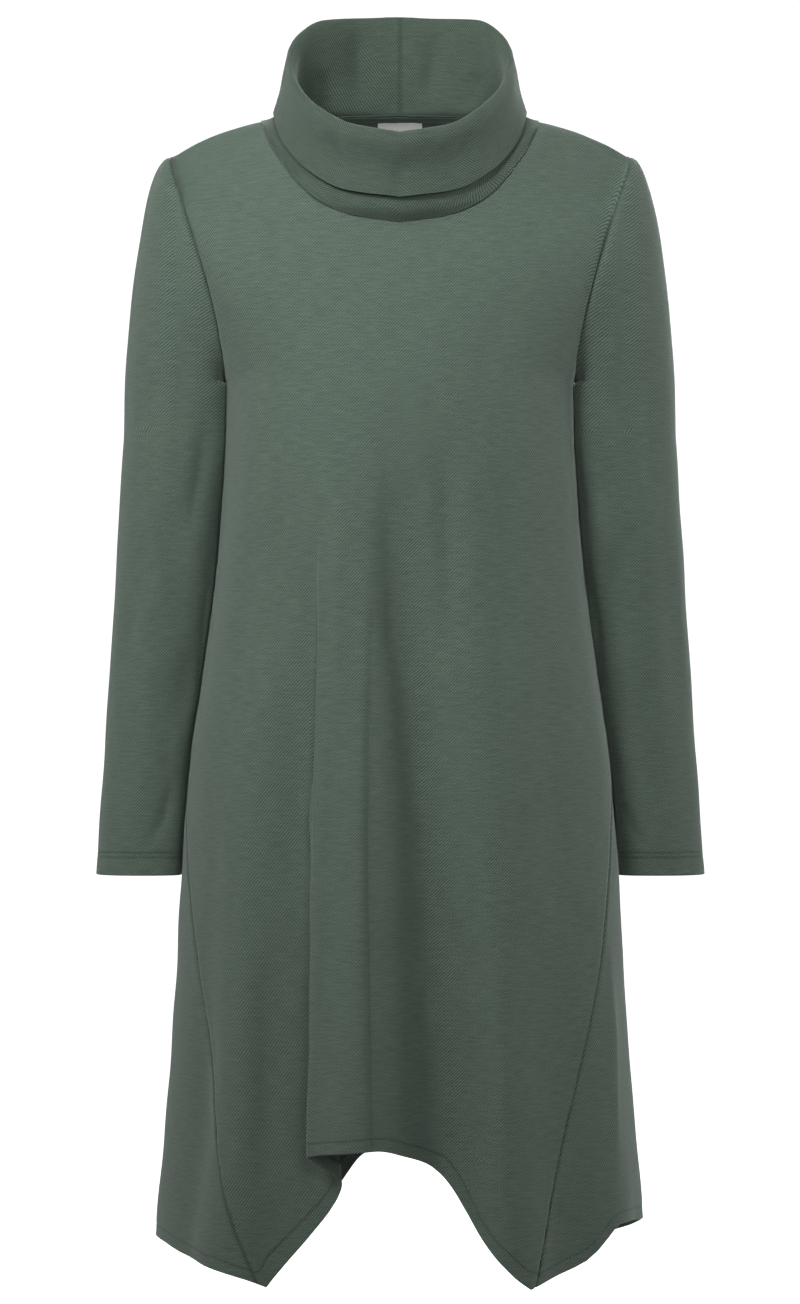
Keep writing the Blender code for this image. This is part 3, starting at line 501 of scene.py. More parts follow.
# Hems and stitches
TURNING = 0.0009           # more cloth on the inside where a hem is turned up
TURNED_PAST_HEM = 0.0010   # how far the turned cloth reaches past its stitches, at hem and cuff
TURNED_PAST_CUFF = 0.0016
TURNED_EDGE = 0.0008       # height over which its edge fades
EDGE_ROUND = 0.0009        # how far the fold at a hem's edge rounds
EDGE_LEAST = 0.12          # share of the wall left at the fold's very edge
PRESS_REACH = 0.0007       # half width of the line that a stitch row presses in
HEM_RIPPLE = 0.00030       # uneven cloth along a hem, and how far up it reaches
HEM_RIPPLE_REACH = 0.012
STITCH_PRESS = 0.00030     # how far a stitch row draws the cloth in
STITCH_PITCH = 0.0030
STITCH_LENGTH = 0.0024
STITCH_THICK = 0.00042
STITCH_LIFT = 0.00005      # how far a stitch's middle lies off the cloth

# Weave
RIB_SLANT = 48.0           # way of the twill's ribs, in degrees
COURSE_PITCH = 0.00085     # between the knitted courses that cross them

# Unevenness of the cloth: seed, shortest and longest wave
UNEVEN = {
    "seam pucker": (5, 0.008, 0.022),
    "beside a seam": (6, 0.012, 0.030),
    "away from seams": (7, 0.045, 0.120),
    "hem stitches": (11, 0.006, 0.016),
    "hem ripple": (12, 0.014, 0.040),
    "crease line": (21, 0.050, 0.140),
}
UNEVEN_WAVES = 9


def unevenness(points, kind):
    """Soft uneven field from -1 to 1 over points, the same for every piece that asks for a kind."""
    seed, shortest, longest = UNEVEN[kind]
    chance = np.random.default_rng(seed)
    total = np.zeros(points.shape[:-1])
    for _ in range(UNEVEN_WAVES):
        way = chance.normal(size=3)
        way /= np.linalg.norm(way)
        length = math.exp(chance.uniform(math.log(shortest), math.log(longest)))
        total += np.sin(points @ way * (2 * math.pi / length) + chance.uniform(0, 2 * math.pi))
    return total / math.sqrt(UNEVEN_WAVES) / 1.4


def neck_angle():
    """Angle, from the front or back middle, of the column through the side neck point."""
    return math.degrees(math.asin(NECK_HALF / TIP_HALF))


def guide_angles(front, height):
    """Angles of a panel's guide columns at heights."""
    down = ease((GUIDES_START - height) / GUIDES_RUN)
    neck = neck_angle()
    spread = gore_angle(height)
    if front:
        left = side_seam(-1, height) + spread
        right = side_seam(1, height) - spread
        valley = VALLEY_GUIDE_TOP + (VALLEY_GUIDE_LOW - VALLEY_GUIDE_TOP) * down
        return [left, -neck + (neck - FLUTE_GUIDE) * down, valley, neck + (RIGHT_GUIDE - neck) * down,
                right]
    right = side_seam(1, height) + spread
    left = side_seam(-1, height) - spread + 360.0
    aside = neck + (BACK_GUIDE - neck) * down
    return [right, 180.0 - aside, 180.0 + 0.0 * height, 180.0 + aside, left]


def panel_columns(front):
    """Guide number and share past it for each column of the front or the back."""
    counts = [SHOULDER_STEPS, FLUTE_STEPS, RIGHT_STEPS, SHOULDER_STEPS] if front else \
        [SHOULDER_STEPS, BACK_STEPS, BACK_STEPS, SHOULDER_STEPS]
    guide = []
    share = []
    for k, count in enumerate(counts):
        shares = list(np.linspace(0.0, 1.0, count + 1)[:-1])
        if k == 0:
            shares = list(NEAR_SEAM) + [s for s in shares if s > NEAR_SEAM[-1] + 0.02]
        if k == len(counts) - 1:
            shares = [s for s in shares if s < 1.0 - NEAR_SEAM[-1] - 0.02]
            shares += [1.0 - s for s in NEAR_SEAM[::-1]]
        guide += [k] * len(shares)
        share += shares
    return np.array(guide), np.array(share)


def column_angle(front, guide, share, height):
    """Angle of columns of the front or the back at heights."""
    guides = np.stack(np.broadcast_arrays(*guide_angles(front, height)))
    left = np.broadcast_to(guide, guides.shape[1:])[None]
    low = np.take_along_axis(guides, left, axis=0)[0]
    high = np.take_along_axis(guides, left + 1, axis=0)[0]
    crowd = 1.0
    if front:
        crowd = 1.0 + FLUTE_CROWD * ease((GUIDES_START - height) / GUIDES_RUN) * (guide == 1)
    return low + (high - low) * share ** crowd


def top_height(angle, front):
    """Height of a panel's top edge: the neckline, and the shoulder line beside it."""
    share = np.abs(np.sin(np.radians(angle)))
    height = np.full_like(share, TIP_TOP)
    for _ in range(SETTLING_ROUNDS):
        x = section(1, height) * share
        neck = from_table(NECKLINE, 1 if front else 2, x)
        height = np.where(x >= NECK_HALF - 1e-6, ridge(x), neck)
    return height


def hem_drop(angle, height):
    """How much longer than plain the rows' drop is where the hem slants."""
    step = 0.25
    rise = hem_height(angle + step) - hem_height(angle - step)
    across = body_point(angle + step, height) - body_point(angle - step, height)
    slope = rise / np.linalg.norm(across[..., :2], axis=-1)
    drop = np.minimum(np.sqrt(1.0 + slope ** 2), HEM_STEEPEST)
    from_point = np.min([np.abs(turned_angle(angle) - point) for point in HEM_POINTS], axis=0)
    return HEM_AT_POINTS + (drop - HEM_AT_POINTS) * ease(from_point / 1.2)


def lower_heights(hem, drop):
    """Heights of the rows from the gores' top to the hem, for each column."""
    above = hem + HEM_OFFSETS[0] * drop
    share = np.linspace(0.0, 1.0, LOWER_STEPS + 1)[:-1, None]
    body = GORE_TOP + (above - GORE_TOP) * share
    return np.concatenate([body, hem + np.array(HEM_OFFSETS)[:, None] * drop])


def run_lengths(grid, axis):
    """Distance of each point from the first one of its column (axis 0) or its row (axis 1)."""
    steps = np.linalg.norm(np.diff(grid, axis=axis), axis=-1)
    start = np.zeros_like(np.take(steps, [0], axis=axis))
    return np.concatenate([start, np.cumsum(steps, axis=axis)], axis=axis)


def body_lengths():
    """Table of the cloth's lengths round the body at a height, and down it at an angle."""
    angles = np.arange(-180.0, 361.0, 1.0)
    heights = np.linspace(0.012, -0.985, 250)
    points = body_point(angles[None], heights[:, None])
    down = run_lengths(points, 0)
    down -= down[[int(np.argmin(np.abs(heights - UNDERARM)))]]
    return angles, heights, run_lengths(points, 1), down


def body_chart(lengths, angle, height, middle):
    """Lengths across the cloth from a middle angle, and down it from the underarm, at points."""
    angles, heights, across, down = lengths
    place = np.clip(angle - angles[0], 0, len(angles) - 1.001)
    level = np.clip((height - heights[0]) / (heights[1] - heights[0]), 0, len(heights) - 1.001)
    from_middle = across - across[:, [int(middle - angles[0])]]
    return np.stack([place_on(from_middle, level, place), place_on(down, level, place)], axis=-1)


def place_on(grid, row, column):
    """Values of a grid at rows and columns that need not be whole."""
    i = np.minimum(np.asarray(row).astype(int), grid.shape[0] - 2)
    j = np.minimum(np.asarray(column).astype(int), grid.shape[1] - 2)
    u = row - i
    v = column - j
    return ((grid[i, j] * (1 - v) + grid[i, j + 1] * v) * (1 - u)
            + (grid[i + 1, j] * (1 - v) + grid[i + 1, j + 1] * v) * u)


def panel_grid(front, lengths):
    """Grid of the front or the back, from neckline and shoulders down to the hem, and its lengths."""
    guide, share = panel_columns(front)
    top = top_height(column_angle(front, guide, share, np.zeros(len(guide))), front)
    hem = np.full(len(guide), GORE_LOW)
    for _ in range(SETTLING_ROUNDS):
        hem = hem_height(column_angle(front, guide, share, hem))
    drop = hem_drop(column_angle(front, guide, share, hem), hem)
    turned = (1 - np.cos(math.pi * np.arange(TOP_STEPS) / TOP_STEPS)) / 2
    upper = top + (UNDERARM - top) * turned[:, None]
    middle = np.linspace(UNDERARM, GORE_TOP, MIDDLE_STEPS + 1)[:-1, None] + 0.0 * top
    below = np.concatenate([middle, lower_heights(hem, drop)])
    guide_up = np.broadcast_to(guide, upper.shape)
    guide_low = np.broadcast_to(guide, below.shape)
    angle_up = column_angle(front, guide_up, share, upper)
    angle_low = column_angle(front, guide_low, share, below)
    grid = np.concatenate([body_point(angle_up, upper, front), body_point(angle_low, below)])
    chart = body_chart(lengths, np.concatenate([angle_up, angle_low]), np.concatenate([upper, below]),
                       0.0 if front else 180.0)
    return grid, chart


def gore_grid(side, lengths):
    """Grid of a gore, from its point in the side seam to the hem, and its lengths."""
    inner = np.linspace(-1.0, 1.0, GORE_STEPS + 1)[2:-2]
    near = np.array([0.0, 0.012, 0.03, 0.055])
    share = side * np.concatenate([near - 1.0, inner, 1.0 - near[::-1]])
    hem = np.full(len(share), GORE_LOW)
    for _ in range(SETTLING_ROUNDS):
        hem = hem_height(side_seam(side, hem) + share * gore_angle(hem))
    drop = hem_drop(side_seam(side, hem) + share * gore_angle(hem), hem)
    height = lower_heights(hem, drop)
    angle = side_seam(side, height) + share * gore_angle(height)
    return body_point(angle, height), body_chart(lengths, angle, height, 90.0 * side)


def sleeve_point(side, turn, height):
    """Points of the sleeve's tube; turn 0 is outside, 90 degrees the front, 180 inside."""
    outer, depth, behind = (from_table(SLEEVE_SECTIONS, column, height) for column in (1, 2, 3))
    clear = SLEEVE_CLEAR + UNDERARM_EASE * ease((height - CAP_END + UNDERARM_FADE) / UNDERARM_FADE)
    touch = behind * SLEEVE_TOUCH
    beside = (1.0 - (touch / section(3, height)) ** ROUND_POWER) ** (1.0 / ROUND_POWER)
    bend = (1.0 - np.sqrt(1.0 - ((behind - touch) / depth) ** 2)) / 2
    inner = (section(1, height) * beside + clear - outer * bend) / (1.0 - bend)
    half = (outer - inner) / 2
    bulge = 0.0
    for crease_side, level, place, half_long, half_wide, deep in SLEEVE_CREASES:
        if crease_side == side:
            apart = np.abs((np.degrees(turn) - place + 180.0) % 360.0 - 180.0)
            near = ease(1.0 - np.abs(height - level) / half_long) * ease(1.0 - apart / half_wide)
            bulge = bulge + 0.001 * deep * near
    beside_body = np.where(np.cos(turn) < 0, 2.0 / INNER_POWER, 1.0)
    across = np.sign(np.cos(turn)) * np.abs(np.cos(turn)) ** beside_body
    along = np.sign(np.sin(turn)) * np.abs(np.sin(turn)) ** beside_body
    x = side * ((outer + inner) / 2 + (half + bulge) * across)
    y = behind - (depth + bulge) * along
    return np.stack(np.broadcast_arrays(x, y, height), axis=-1)


def sleeve_grid(side, front, back):
    """Grid of a sleeve: the armhole's own points, the cap, then the tube to the cuff."""
    rows = np.arange(TOP_STEPS + 1)
    front_edge, back_edge = (-1, 0) if side > 0 else (0, -1)
    loop = np.concatenate([front[rows, front_edge], back[rows[-2:0:-1], back_edge]])
    columns = len(loop)
    turn = 2 * math.pi * np.arange(columns) / columns
    high = (1 + np.cos(turn)) / 2
    forward = np.sin(turn)
    under = (1 - high) ** 4
    away = np.stack([side * (CAP_OUT + (1 - CAP_OUT) * (1 - high)),
                     CAP_UNDER_BACK * under - CAP_IN * forward,
                     -CAP_DOWN * high ** 0.5 - CAP_SIDE_DOWN * np.abs(forward) * high
                     - CAP_UNDER_DOWN * under], axis=1)
    away /= np.linalg.norm(away, axis=1, keepdims=True)
    first = loop + away * (UNDERARM_BRIDGE + TIP_BRIDGE * high)[:, None]
    end = sleeve_point(side, turn, np.full(columns, CAP_END))
    span = np.linalg.norm(end - first, axis=1)
    lead = first + away * (CAP_LEAD + CAP_LEAD_TIP * high ** CAP_LEAD_POWER)[:, None]
    lift = np.stack([-side * CAP_LIFT_IN * high, 0.0 * high, 1.0 + 0.0 * high], axis=1)
    lift *= CAP_LIFT * span[:, None]
    bridge = np.array([0.0, 0.15, 0.35, 0.62])[:, None, None]
    t = np.linspace(0.0, 1.0, CAP_STEPS + 1)[:, None, None]
    cap = (first * (1 - t) ** 3 + 3 * lead * t * (1 - t) ** 2 + 3 * (end + lift) * t * t * (1 - t)
           + end * t ** 3)
    tube = np.concatenate([np.linspace(CAP_END, CUFF + CUFF_OFFSETS[0], TUBE_STEPS + 1)[1:-1],
                           CUFF + np.array(CUFF_OFFSETS)])[:, None]
    grid = np.concatenate([loop + (first - loop) * bridge, cap, sleeve_point(side, turn, tube)])
    grid = np.roll(grid, columns // 2, axis=1)
    grid = draw_to_side(side, grid, np.roll(turn, columns // 2))
    return grid, sleeve_chart(side, grid, np.roll(turn, columns // 2))


def draw_to_side(side, grid, turn):
    """Let the sleeve's inside lie along the body's side just below the underarm, clear of it."""
    height = grid[..., 2]
    reach = np.where(grid[..., 1] < 0, section(2, height), section(3, height))
    bare = np.clip(1.0 - (np.abs(grid[..., 1]) / reach) ** ROUND_POWER, 0.0, 1.0) ** (1.0 / ROUND_POWER)
    clear = section(1, height) * bare + CLOTH + SLEEVE_APART
    away = side * grid[..., 0]
    below = ease((UNDERARM - DRAW_START - height) / DRAW_GROWTH)
    pull = SLEEVE_DRAW * below * ease((height - DRAW_END) / DRAW_FADE) * ease(-np.cos(turn) / DRAW_FACING)
    drawn = np.maximum(away - pull, np.minimum(clear, away + PUSH_MOST))
    grid[..., 0] = side * np.where(below > 0.5, drawn, away)
    return grid


def sleeve_chart(side, grid, turn):
    """Lengths round the sleeve from its outside and down it; the cap takes those of the tube's top."""
    turn = np.where(np.arange(len(turn)) < len(turn) // 2, turn - 2 * math.pi, turn)
    turn = np.append(turn, math.pi)
    grid = np.concatenate([grid, grid[:, :1]], axis=1)
    round_it = run_lengths(grid, 1)
    outside = int(np.argmin(np.abs(turn)))
    round_it -= round_it[:, [outside]]
    top = int(np.argmin(np.abs(grid[:, outside, 2] - CAP_END) + np.ptp(grid[..., 2], axis=1)))
    middle = grid[top].mean(axis=0)
    for i in range(top):
        facing = np.arctan2(middle[1] - grid[i, :, 1], side * (grid[i, :, 0] - middle[0]))
        apart = (facing - turn + math.pi) % (2 * math.pi) - math.pi
        round_it[i] = np.interp(turn + apart, turn, round_it[top])
        over = turn + apart - np.clip(turn + apart, turn[0], turn[-1])
        round_it[i] += over * 0.05
    return np.stack([-side * round_it, -grid[..., 2]], axis=2)


def neck_loop(front, back):
    """The neckline's points, round from the -X side neck over the front and back again."""
    over_front = [j for j, guide in enumerate(panel_columns(True)[0]) if 1 <= guide <= 2]
    over_front.append(over_front[-1] + 1)
    over_back = [j for j, guide in enumerate(panel_columns(False)[0]) if 1 <= guide <= 2][1:]
    loop = np.concatenate([front[0, over_front], back[0, over_back]])
    middle = int(np.argmin(np.abs(back[0, over_back, 0]))) + len(over_front)
    return np.roll(loop, -middle, axis=0)


def collar_grid(loop):
    """Grid of the collar: up from the neck seam, over the top fold, down to the free edge."""
    reach = np.where(loop[:, 1] < 0, COLLAR_SPREAD_FRONT, COLLAR_SPREAD_BACK)
    around = np.arctan2(loop[:, 0] / NECK_HALF, -loop[:, 1] / reach)
    guides = [loop]
    for _, half, to_front, to_back, heights in COLLAR_PROFILE:
        depth = np.where(np.cos(around) > 0, to_front, to_back)
        height = smooth_table(COLLAR_ANGLES, heights, np.abs(np.degrees(around)))
        guides.append(np.stack([half * np.sin(around), -depth * np.cos(around), height], axis=1))
    ends = [2 * guides[0] - guides[1]] + guides + [2 * guides[-1] - guides[-2]]
    near = np.array([0.0, 0.0035, 0.008, 0.014])
    shares = np.concatenate([near, np.linspace(0.0, 1.0, COLLAR_STEPS + 1)[2:-2], 1.0 - near[::-1]])
    rows = []
    for place in shares * (len(guides) - 1):
        k = min(int(place), len(guides) - 2)
        t = place - k
        a, b, c, d = ends[k:k + 4]
        rows.append(0.5 * (2 * b + (c - a) * t + (2 * a - 5 * b + 4 * c - d) * t * t
                           + (3 * b - a - 3 * c + d) * t ** 3))
    return np.array(rows)


def sheet_normals(grid, around):
    """Unit normals of a grid of points, and whether its columns run to the right seen from outside."""
    down = np.gradient(grid, axis=0)
    if around:
        across = (np.roll(grid, -1, axis=1) - np.roll(grid, 1, axis=1)) / 2
    else:
        across = np.gradient(grid, axis=1)
    thin = np.linalg.norm(across, axis=2) < 1e-7
    across[0][thin[0]] = across[1][thin[0]]
    normals = np.cross(across, down)
    return normals / np.linalg.norm(normals, axis=2, keepdims=True)


def seam_key(point):
    """Key that two pieces' copies of one seam point share."""
    return tuple(int(round(value * 1e6)) for value in point)


def edges_of(grid, around):
    """Each edge of a grid, with the line beside it."""
    every = slice(None)
    edges = [((0, every), (1, every)), ((-1, every), (-2, every))]
    if not around:
        edges += [((every, 0), (every, 1)), ((every, -1), (every, -2))]
    return edges


def sew(sheets):
    """Find which edge points are sewn, and give those of a seam one normal and a mitre."""
    sums = {}
    for name, sheet in sheets.items():
        seen = {}
        for edge, _ in edges_of(sheet["grid"], sheet["around"]):
            for point, normal in zip(sheet["grid"][edge], sheet["normals"][edge]):
                seen.setdefault(seam_key(point), []).append(normal)
        for key, found in seen.items():
            sums.setdefault(key, []).append(np.mean(found, axis=0))
    for sheet in sheets.values():
        grid = sheet["grid"]
        normals = sheet["normals"].copy()
        sheet["mitre"] = np.ones(grid.shape[:2])
        sheet["sewn"] = []
        for edge, beside in edges_of(grid, sheet["around"]):
            sewn = np.array([len(sums[seam_key(point)]) > 1 for point in grid[edge]])
            sheet["sewn"].append((edge, beside, sewn))
            mean = np.array([np.mean(sums[seam_key(point)], axis=0) for point in grid[edge]])
            mean /= np.linalg.norm(mean, axis=1, keepdims=True)
            lean = np.sum(mean * sheet["normals"][edge], axis=1)
            sheet["mitre"][edge] = np.where(sewn, 1.0 / np.maximum(lean, MITRE_LEAST), 1.0)
            normals[edge] = np.where(sewn[:, None], mean, normals[edge])
        sheet["normals"] = normals


def distance_from(grid, edge, sewn):
    """Distance of each point of a grid from one of its sewn edges, along its own row or column."""
    axis = 0 if not isinstance(edge[0], slice) else 1
    last = edge[axis] == -1
    run = run_lengths(np.flip(grid, axis=axis) if last else grid, axis)
    run = np.flip(run, axis=axis) if last else run
    held = sewn[None, :] if axis == 0 else sewn[:, None]
    return np.where(held, run, 1.0)


def press_seams(sheet):
    """Draw the cloth in along its seams, over the allowance behind, and leave it a little uneven."""
    grid = sheet["grid"]
    near = np.full(grid.shape[:2], 1.0)
    for edge, _, sewn in sheet["sewn"]:
        near = np.minimum(near, distance_from(grid, edge, sewn))
    for column in sheet.get("seam_columns", ()):
        near = np.minimum(near, np.linalg.norm(grid - grid[:, [column]], axis=2))
    pucker = 1.0 + PUCKER * unevenness(grid, "seam pucker")
    way = INSIDE_DITCH if sheet.get("seam_inside") else -1.0
    ditch = way * SEAM_DITCH * pucker * np.exp(-(near / SEAM_WIDTH) ** 2)
    allowance = ALLOWANCE_RISE * ease((near - ALLOWANCE_START) / ALLOWANCE_RUN)
    allowance = allowance * ease((ALLOWANCE + ALLOWANCE_END - near) / ALLOWANCE_END)
    beside = BESIDE_RISE * unevenness(grid, "beside a seam") * np.exp(-near / BESIDE_REACH)
    soft = SOFT_RISE * unevenness(grid, "away from seams") * ease(near / SOFT_START)
    sheet["near"] = near
    return ditch + allowance + beside + soft


def crease_moves(name, sheet):
    """How far the finer creases move each point of a piece outward."""
    grid = sheet["grid"] * 1000.0
    group = "body" if name in ("front", "back", "gore_left", "gore_right") else name
    hand = -1.0 if name == "collar" else 1.0
    moves = np.zeros(grid.shape[:2])
    for _, piece, facing, outward, left, right, line in CREASES:
        if piece != group:
            continue
        places = [point[0] for point in line][::-1]
        heights = [point[1] for point in line][::-1]
        apart = grid[..., 0] - np.interp(grid[..., 2], heights, places)
        wander = min(left, right, CREASE_WANDER) / CREASE_WANDER
        apart = apart + wander * unevenness(sheet["grid"], "crease line")
        reach = np.where(apart < 0, left, right)
        fade = CREASE_FADE * (heights[-1] - heights[0])
        along = ease((heights[-1] - grid[..., 2]) / fade) * ease((grid[..., 2] - heights[0]) / fade)
        toward = ease(facing * hand * sheet["normals"][..., 1] / CREASE_FACING)
        form = np.exp(-(np.abs(apart) / reach) ** CREASE_POWER)
        moves += hand * 0.001 * outward * form * along * toward
    return moves


def part_seams(sheet):
    """Draw the sewn edges in by half the gap between two pieces."""
    grid = sheet["grid"]
    moved = grid.copy()
    for edge, beside, sewn in sheet["sewn"]:
        line = grid[edge]
        ahead = np.gradient(line, axis=0)
        ahead /= np.maximum(np.linalg.norm(ahead, axis=1, keepdims=True), 1e-9)
        inward = grid[beside] - line
        inward = inward - ahead * np.sum(inward * ahead, axis=1, keepdims=True)
        size = np.linalg.norm(inward, axis=1, keepdims=True)
        inward = np.where(size > 1e-7, inward / np.maximum(size, 1e-9), 0.0)
        moved[edge] += np.where(sewn[:, None], inward * np.minimum(SCENE_GAP / 2, size / 3), 0.0)
    sheet["grid"] = moved


def cloth_lengths(sheet):
    """Distances across and down the cloth at each point, which become its UV map in metres."""
    if "chart" in sheet:
        return sheet["chart"]
    grid = sheet["grid"]
    if sheet["around"]:
        grid = np.concatenate([grid, grid[:, :1]], axis=1)
    across = run_lengths(grid, 1).mean(axis=0)
    across = np.broadcast_to(across - across[grid.shape[1] // 2], grid.shape[:2])
    down = run_lengths(grid, 0)
    if sheet["around"]:
        down = np.broadcast_to(down.mean(axis=1, keepdims=True), grid.shape[:2])
    else:
        down = down - grid[0, :, 2]
    return np.stack([across * sheet["hand"], down], axis=2)


def new_object(name, data):
    """New object in the scene."""
    made = bpy.data.objects.new(name, data)
    bpy.context.collection.objects.link(made)
    return made


def quads(i, j, beside, wide):
    """Corner numbers of the faces between two rows and two columns of a grid."""
    return np.stack([i * wide + j, i * wide + beside, (i + 1) * wide + beside, (i + 1) * wide + j], 2)


def cloth_faces(rows, columns, wide, around):
    """Corners of a cloth wall's faces, and the places on its chart that they take."""
    half = rows * columns
    steps = columns if around else columns - 1
    i, j = np.meshgrid(np.arange(rows - 1), np.arange(steps), indexing="ij")
    front = quads(i, j, (j + 1) % columns, columns)
    spots = quads(i, j, j + 1, wide)
    faces = [front.reshape(-1, 4), (front[..., ::-1] + half).reshape(-1, 4)]
    places = [spots.reshape(-1, 4), spots[..., ::-1].reshape(-1, 4)]
    j = np.arange(steps)
    for row in (0, rows - 1):
        a = row * columns + j
        b = row * columns + (j + 1) % columns
        faces.append(np.stack([a, b, b + half, a + half], 1))
        c = row * wide + j
        places.append(np.stack([c, c + 1, c + 1, c], 1))
    if not around:
        for column in (0, columns - 1):
            a = np.arange(rows - 1) * columns + column
            faces.append(np.stack([a, a + columns, a + columns + half, a + half], 1))
            places.append(np.stack([a, a + columns, a + columns, a], 1))
    return np.concatenate(faces), np.concatenate(places)


def cloth_wall(name, sheet, thickness, material):
    """Closed wall of cloth about a sheet's grid, with its UV map in metres."""
    grid = sheet["grid"]
    rows, columns = grid.shape[:2]
    reach = (sheet["mitre"] * thickness / 2)[..., None]
    rim = sheet.get("rim", np.ones((rows, columns)))[..., None]
    inside = sheet.get("inside", np.zeros((rows, columns)))[..., None]
    outer = grid + sheet["normals"] * (reach * rim - inside / 2 * (1 - rim))
    inner = grid - sheet["normals"] * (reach * rim + inside * rim + inside / 2 * (1 - rim))
    points = np.concatenate([outer.reshape(-1, 3), inner.reshape(-1, 3)])
    length = cloth_lengths(sheet)
    faces, places = cloth_faces(rows, columns, length.shape[1], sheet["around"])
    data = bpy.data.meshes.new(name)
    data.vertices.add(len(points))
    data.vertices.foreach_set("co", points.ravel())
    data.loops.add(faces.size)
    data.loops.foreach_set("vertex_index", faces.ravel())
    data.polygons.add(len(faces))
    data.polygons.foreach_set("loop_start", np.arange(0, faces.size, 4))
    data.update(calc_edges=True)
    near = sheet.get("near", np.ones((rows, columns)))
    # painted shade: the 'seam' attribute darkens the colour along seams and stitch rows, standing in for
    # the shade in their grooves
    shade = np.exp(-(near / SEAM_SHADE) ** 2) * (INSIDE_SHADE if sheet.get("seam_inside") else 1.0)
    shade = shade + sheet.get("sewn_shade", 0.0)
    data.attributes.new("seam", "FLOAT", "POINT").data.foreach_set("value", np.tile(shade.ravel(), 2))
    chart = data.uv_layers.new(name="UVMap")
    chart.uv.foreach_set("vector", length.reshape(-1, 2)[places.ravel()].ravel())
    mesh = bmesh.new()
    mesh.from_mesh(data)
    bmesh.ops.remove_doubles(mesh, verts=mesh.verts, dist=1e-6)
    bmesh.ops.dissolve_degenerate(mesh, edges=mesh.edges, dist=1e-7)
    bmesh.ops.recalc_face_normals(mesh, faces=mesh.faces)
    mesh.to_mesh(data)
    mesh.free()
    data.shade_smooth()
    data.set_sharp_from_angle(angle=math.radians(55))
    data.materials.append(material)
    return new_object(name, data)


def new_material(name):
    """New material, its tree of nodes and its shader."""
    material = bpy.data.materials.new(name)
    material.use_nodes = True
    return material, material.node_tree, material.node_tree.nodes["Principled BSDF"]


def feed(tree, node, inputs):
    """Set a node's inputs, each to a value or to another node's socket."""
    for key, value in inputs.items():
        if hasattr(value, "is_output"):
            tree.links.new(value, node.inputs[key])
        else:
            node.inputs[key].default_value = value


def add_node(tree, kind, inputs, **settings):
    """New node with its settings and inputs; gives back its outputs."""
    node = tree.nodes.new(kind)
    for key, value in settings.items():
        setattr(node, key, value)
    feed(tree, node, inputs)
    return node.outputs


def blend_colours(tree, low, high, factor):
    """Colour between two by a factor socket."""
    return add_node(tree, "ShaderNodeMix", {0: factor, 6: low, 7: high}, data_type="RGBA")[2]


def calculate(tree, how, a, b=0.0):
    """Sum, product or other sum of two numbers or sockets."""
    return add_node(tree, "ShaderNodeMath", {0: a, 1: b}, operation=how)[0]


def sine_wave(tree, place, period):
    """Sine of a place along the cloth."""
    return calculate(tree, "SINE", calculate(tree, "MULTIPLY", place, 2 * math.pi / period))


def weigh(tree, *parts):
    """Sum of sockets, each times its share."""
    total = None
    for part, share in parts:
        scaled = calculate(tree, "MULTIPLY", part, share)
        total = scaled if total is None else calculate(tree, "ADD", total, scaled)
    return total


def noise(tree, place, scale, detail=2.0):
    """Soft noise at a place."""
    return add_node(tree, "ShaderNodeTexNoise", {"Vector": place, "Scale": scale, "Detail": detail})["Fac"]


def cloth_chart(tree):
    """Lengths across and down the cloth: both as one socket, and each by itself."""
    chart = add_node(tree, "ShaderNodeUVMap", {}, uv_map="UVMap")["UV"]
    split = add_node(tree, "ShaderNodeSeparateXYZ", {0: chart})
    return chart, split["X"], split["Y"]


def jersey(name, dark, light, period=0.0018, bump=0.00022):
    """Twill jersey: diagonal ribs at the cloth's own lengths, mottled yarn, a soft nap, and painted shade
    along seams and stitch rows.
    """
    material, tree, shader = new_material(name)
    chart, across, down = cloth_chart(tree)
    slant = math.radians(RIB_SLANT)
    rib = sine_wave(tree, weigh(tree, (across, math.sin(slant)), (down, math.cos(slant)),
                                (noise(tree, chart, 160.0), 0.0012)), period)
    slid = calculate(tree, "MULTIPLY", across, 0.35)
    course = sine_wave(tree, calculate(tree, "SUBTRACT", down, slid), COURSE_PITCH)
    yarn = noise(tree, chart, 900.0, 3.0)
    mottle = noise(tree, chart, 55.0, 4.0)
    stretched = add_node(tree, "ShaderNodeMapping", {"Vector": chart, "Scale": (70.0, 640.0, 1.0)})
    streak = noise(tree, stretched["Vector"], 1.0, 3.0)
    # painted shade: the 'seam' attribute darkens the colour in the lines of seams and stitch rows
    seam = add_node(tree, "ShaderNodeAttribute", {}, attribute_name="seam")["Fac"]
    factor = weigh(tree, (rib, 0.45), (course, 0.12), (yarn, 0.90), (streak, 0.85), (mottle, 0.12),
                   (seam, -0.60))
    factor = calculate(tree, "SUBTRACT", factor, 0.435)
    factor.node.use_clamp = True
    relief = weigh(tree, (weigh(tree, (rib, 1.0), (course, 0.35)), 0.5), (yarn, 0.6))
    raised = add_node(tree, "ShaderNodeBump", {"Height": relief, "Strength": 0.55, "Distance": bump})
    feed(tree, shader, {
        "Base Color": blend_colours(tree, dark, light, factor),
        "Roughness": calculate(tree, "ADD", calculate(tree, "MULTIPLY", yarn, 0.12), 0.80),
        "Normal": raised["Normal"],
        "Sheen Weight": 0.40,
        "Sheen Roughness": 0.42,
        "Sheen Tint": (0.80, 0.92, 0.85, 1.0),
        "Specular IOR Level": 0.22,
    })
    return material


def label_satin(name, colour):
    """Pale woven label, left bare."""
    material, tree, shader = new_material(name)
    _, across, down = cloth_chart(tree)
    weave = calculate(tree, "MULTIPLY", sine_wave(tree, down, 0.0007), sine_wave(tree, across, 0.0005))
    factor = calculate(tree, "ADD", calculate(tree, "MULTIPLY", weave, 0.2), 0.5)
    raised = add_node(tree, "ShaderNodeBump", {"Height": weave, "Distance": 0.0001})
    feed(tree, shader, {
        "Base Color": blend_colours(tree, shaded(colour, 0.86), colour, factor),
        "Normal": raised["Normal"],
        "Roughness": 0.5,
        "Sheen Weight": 0.15,
    })
    return material


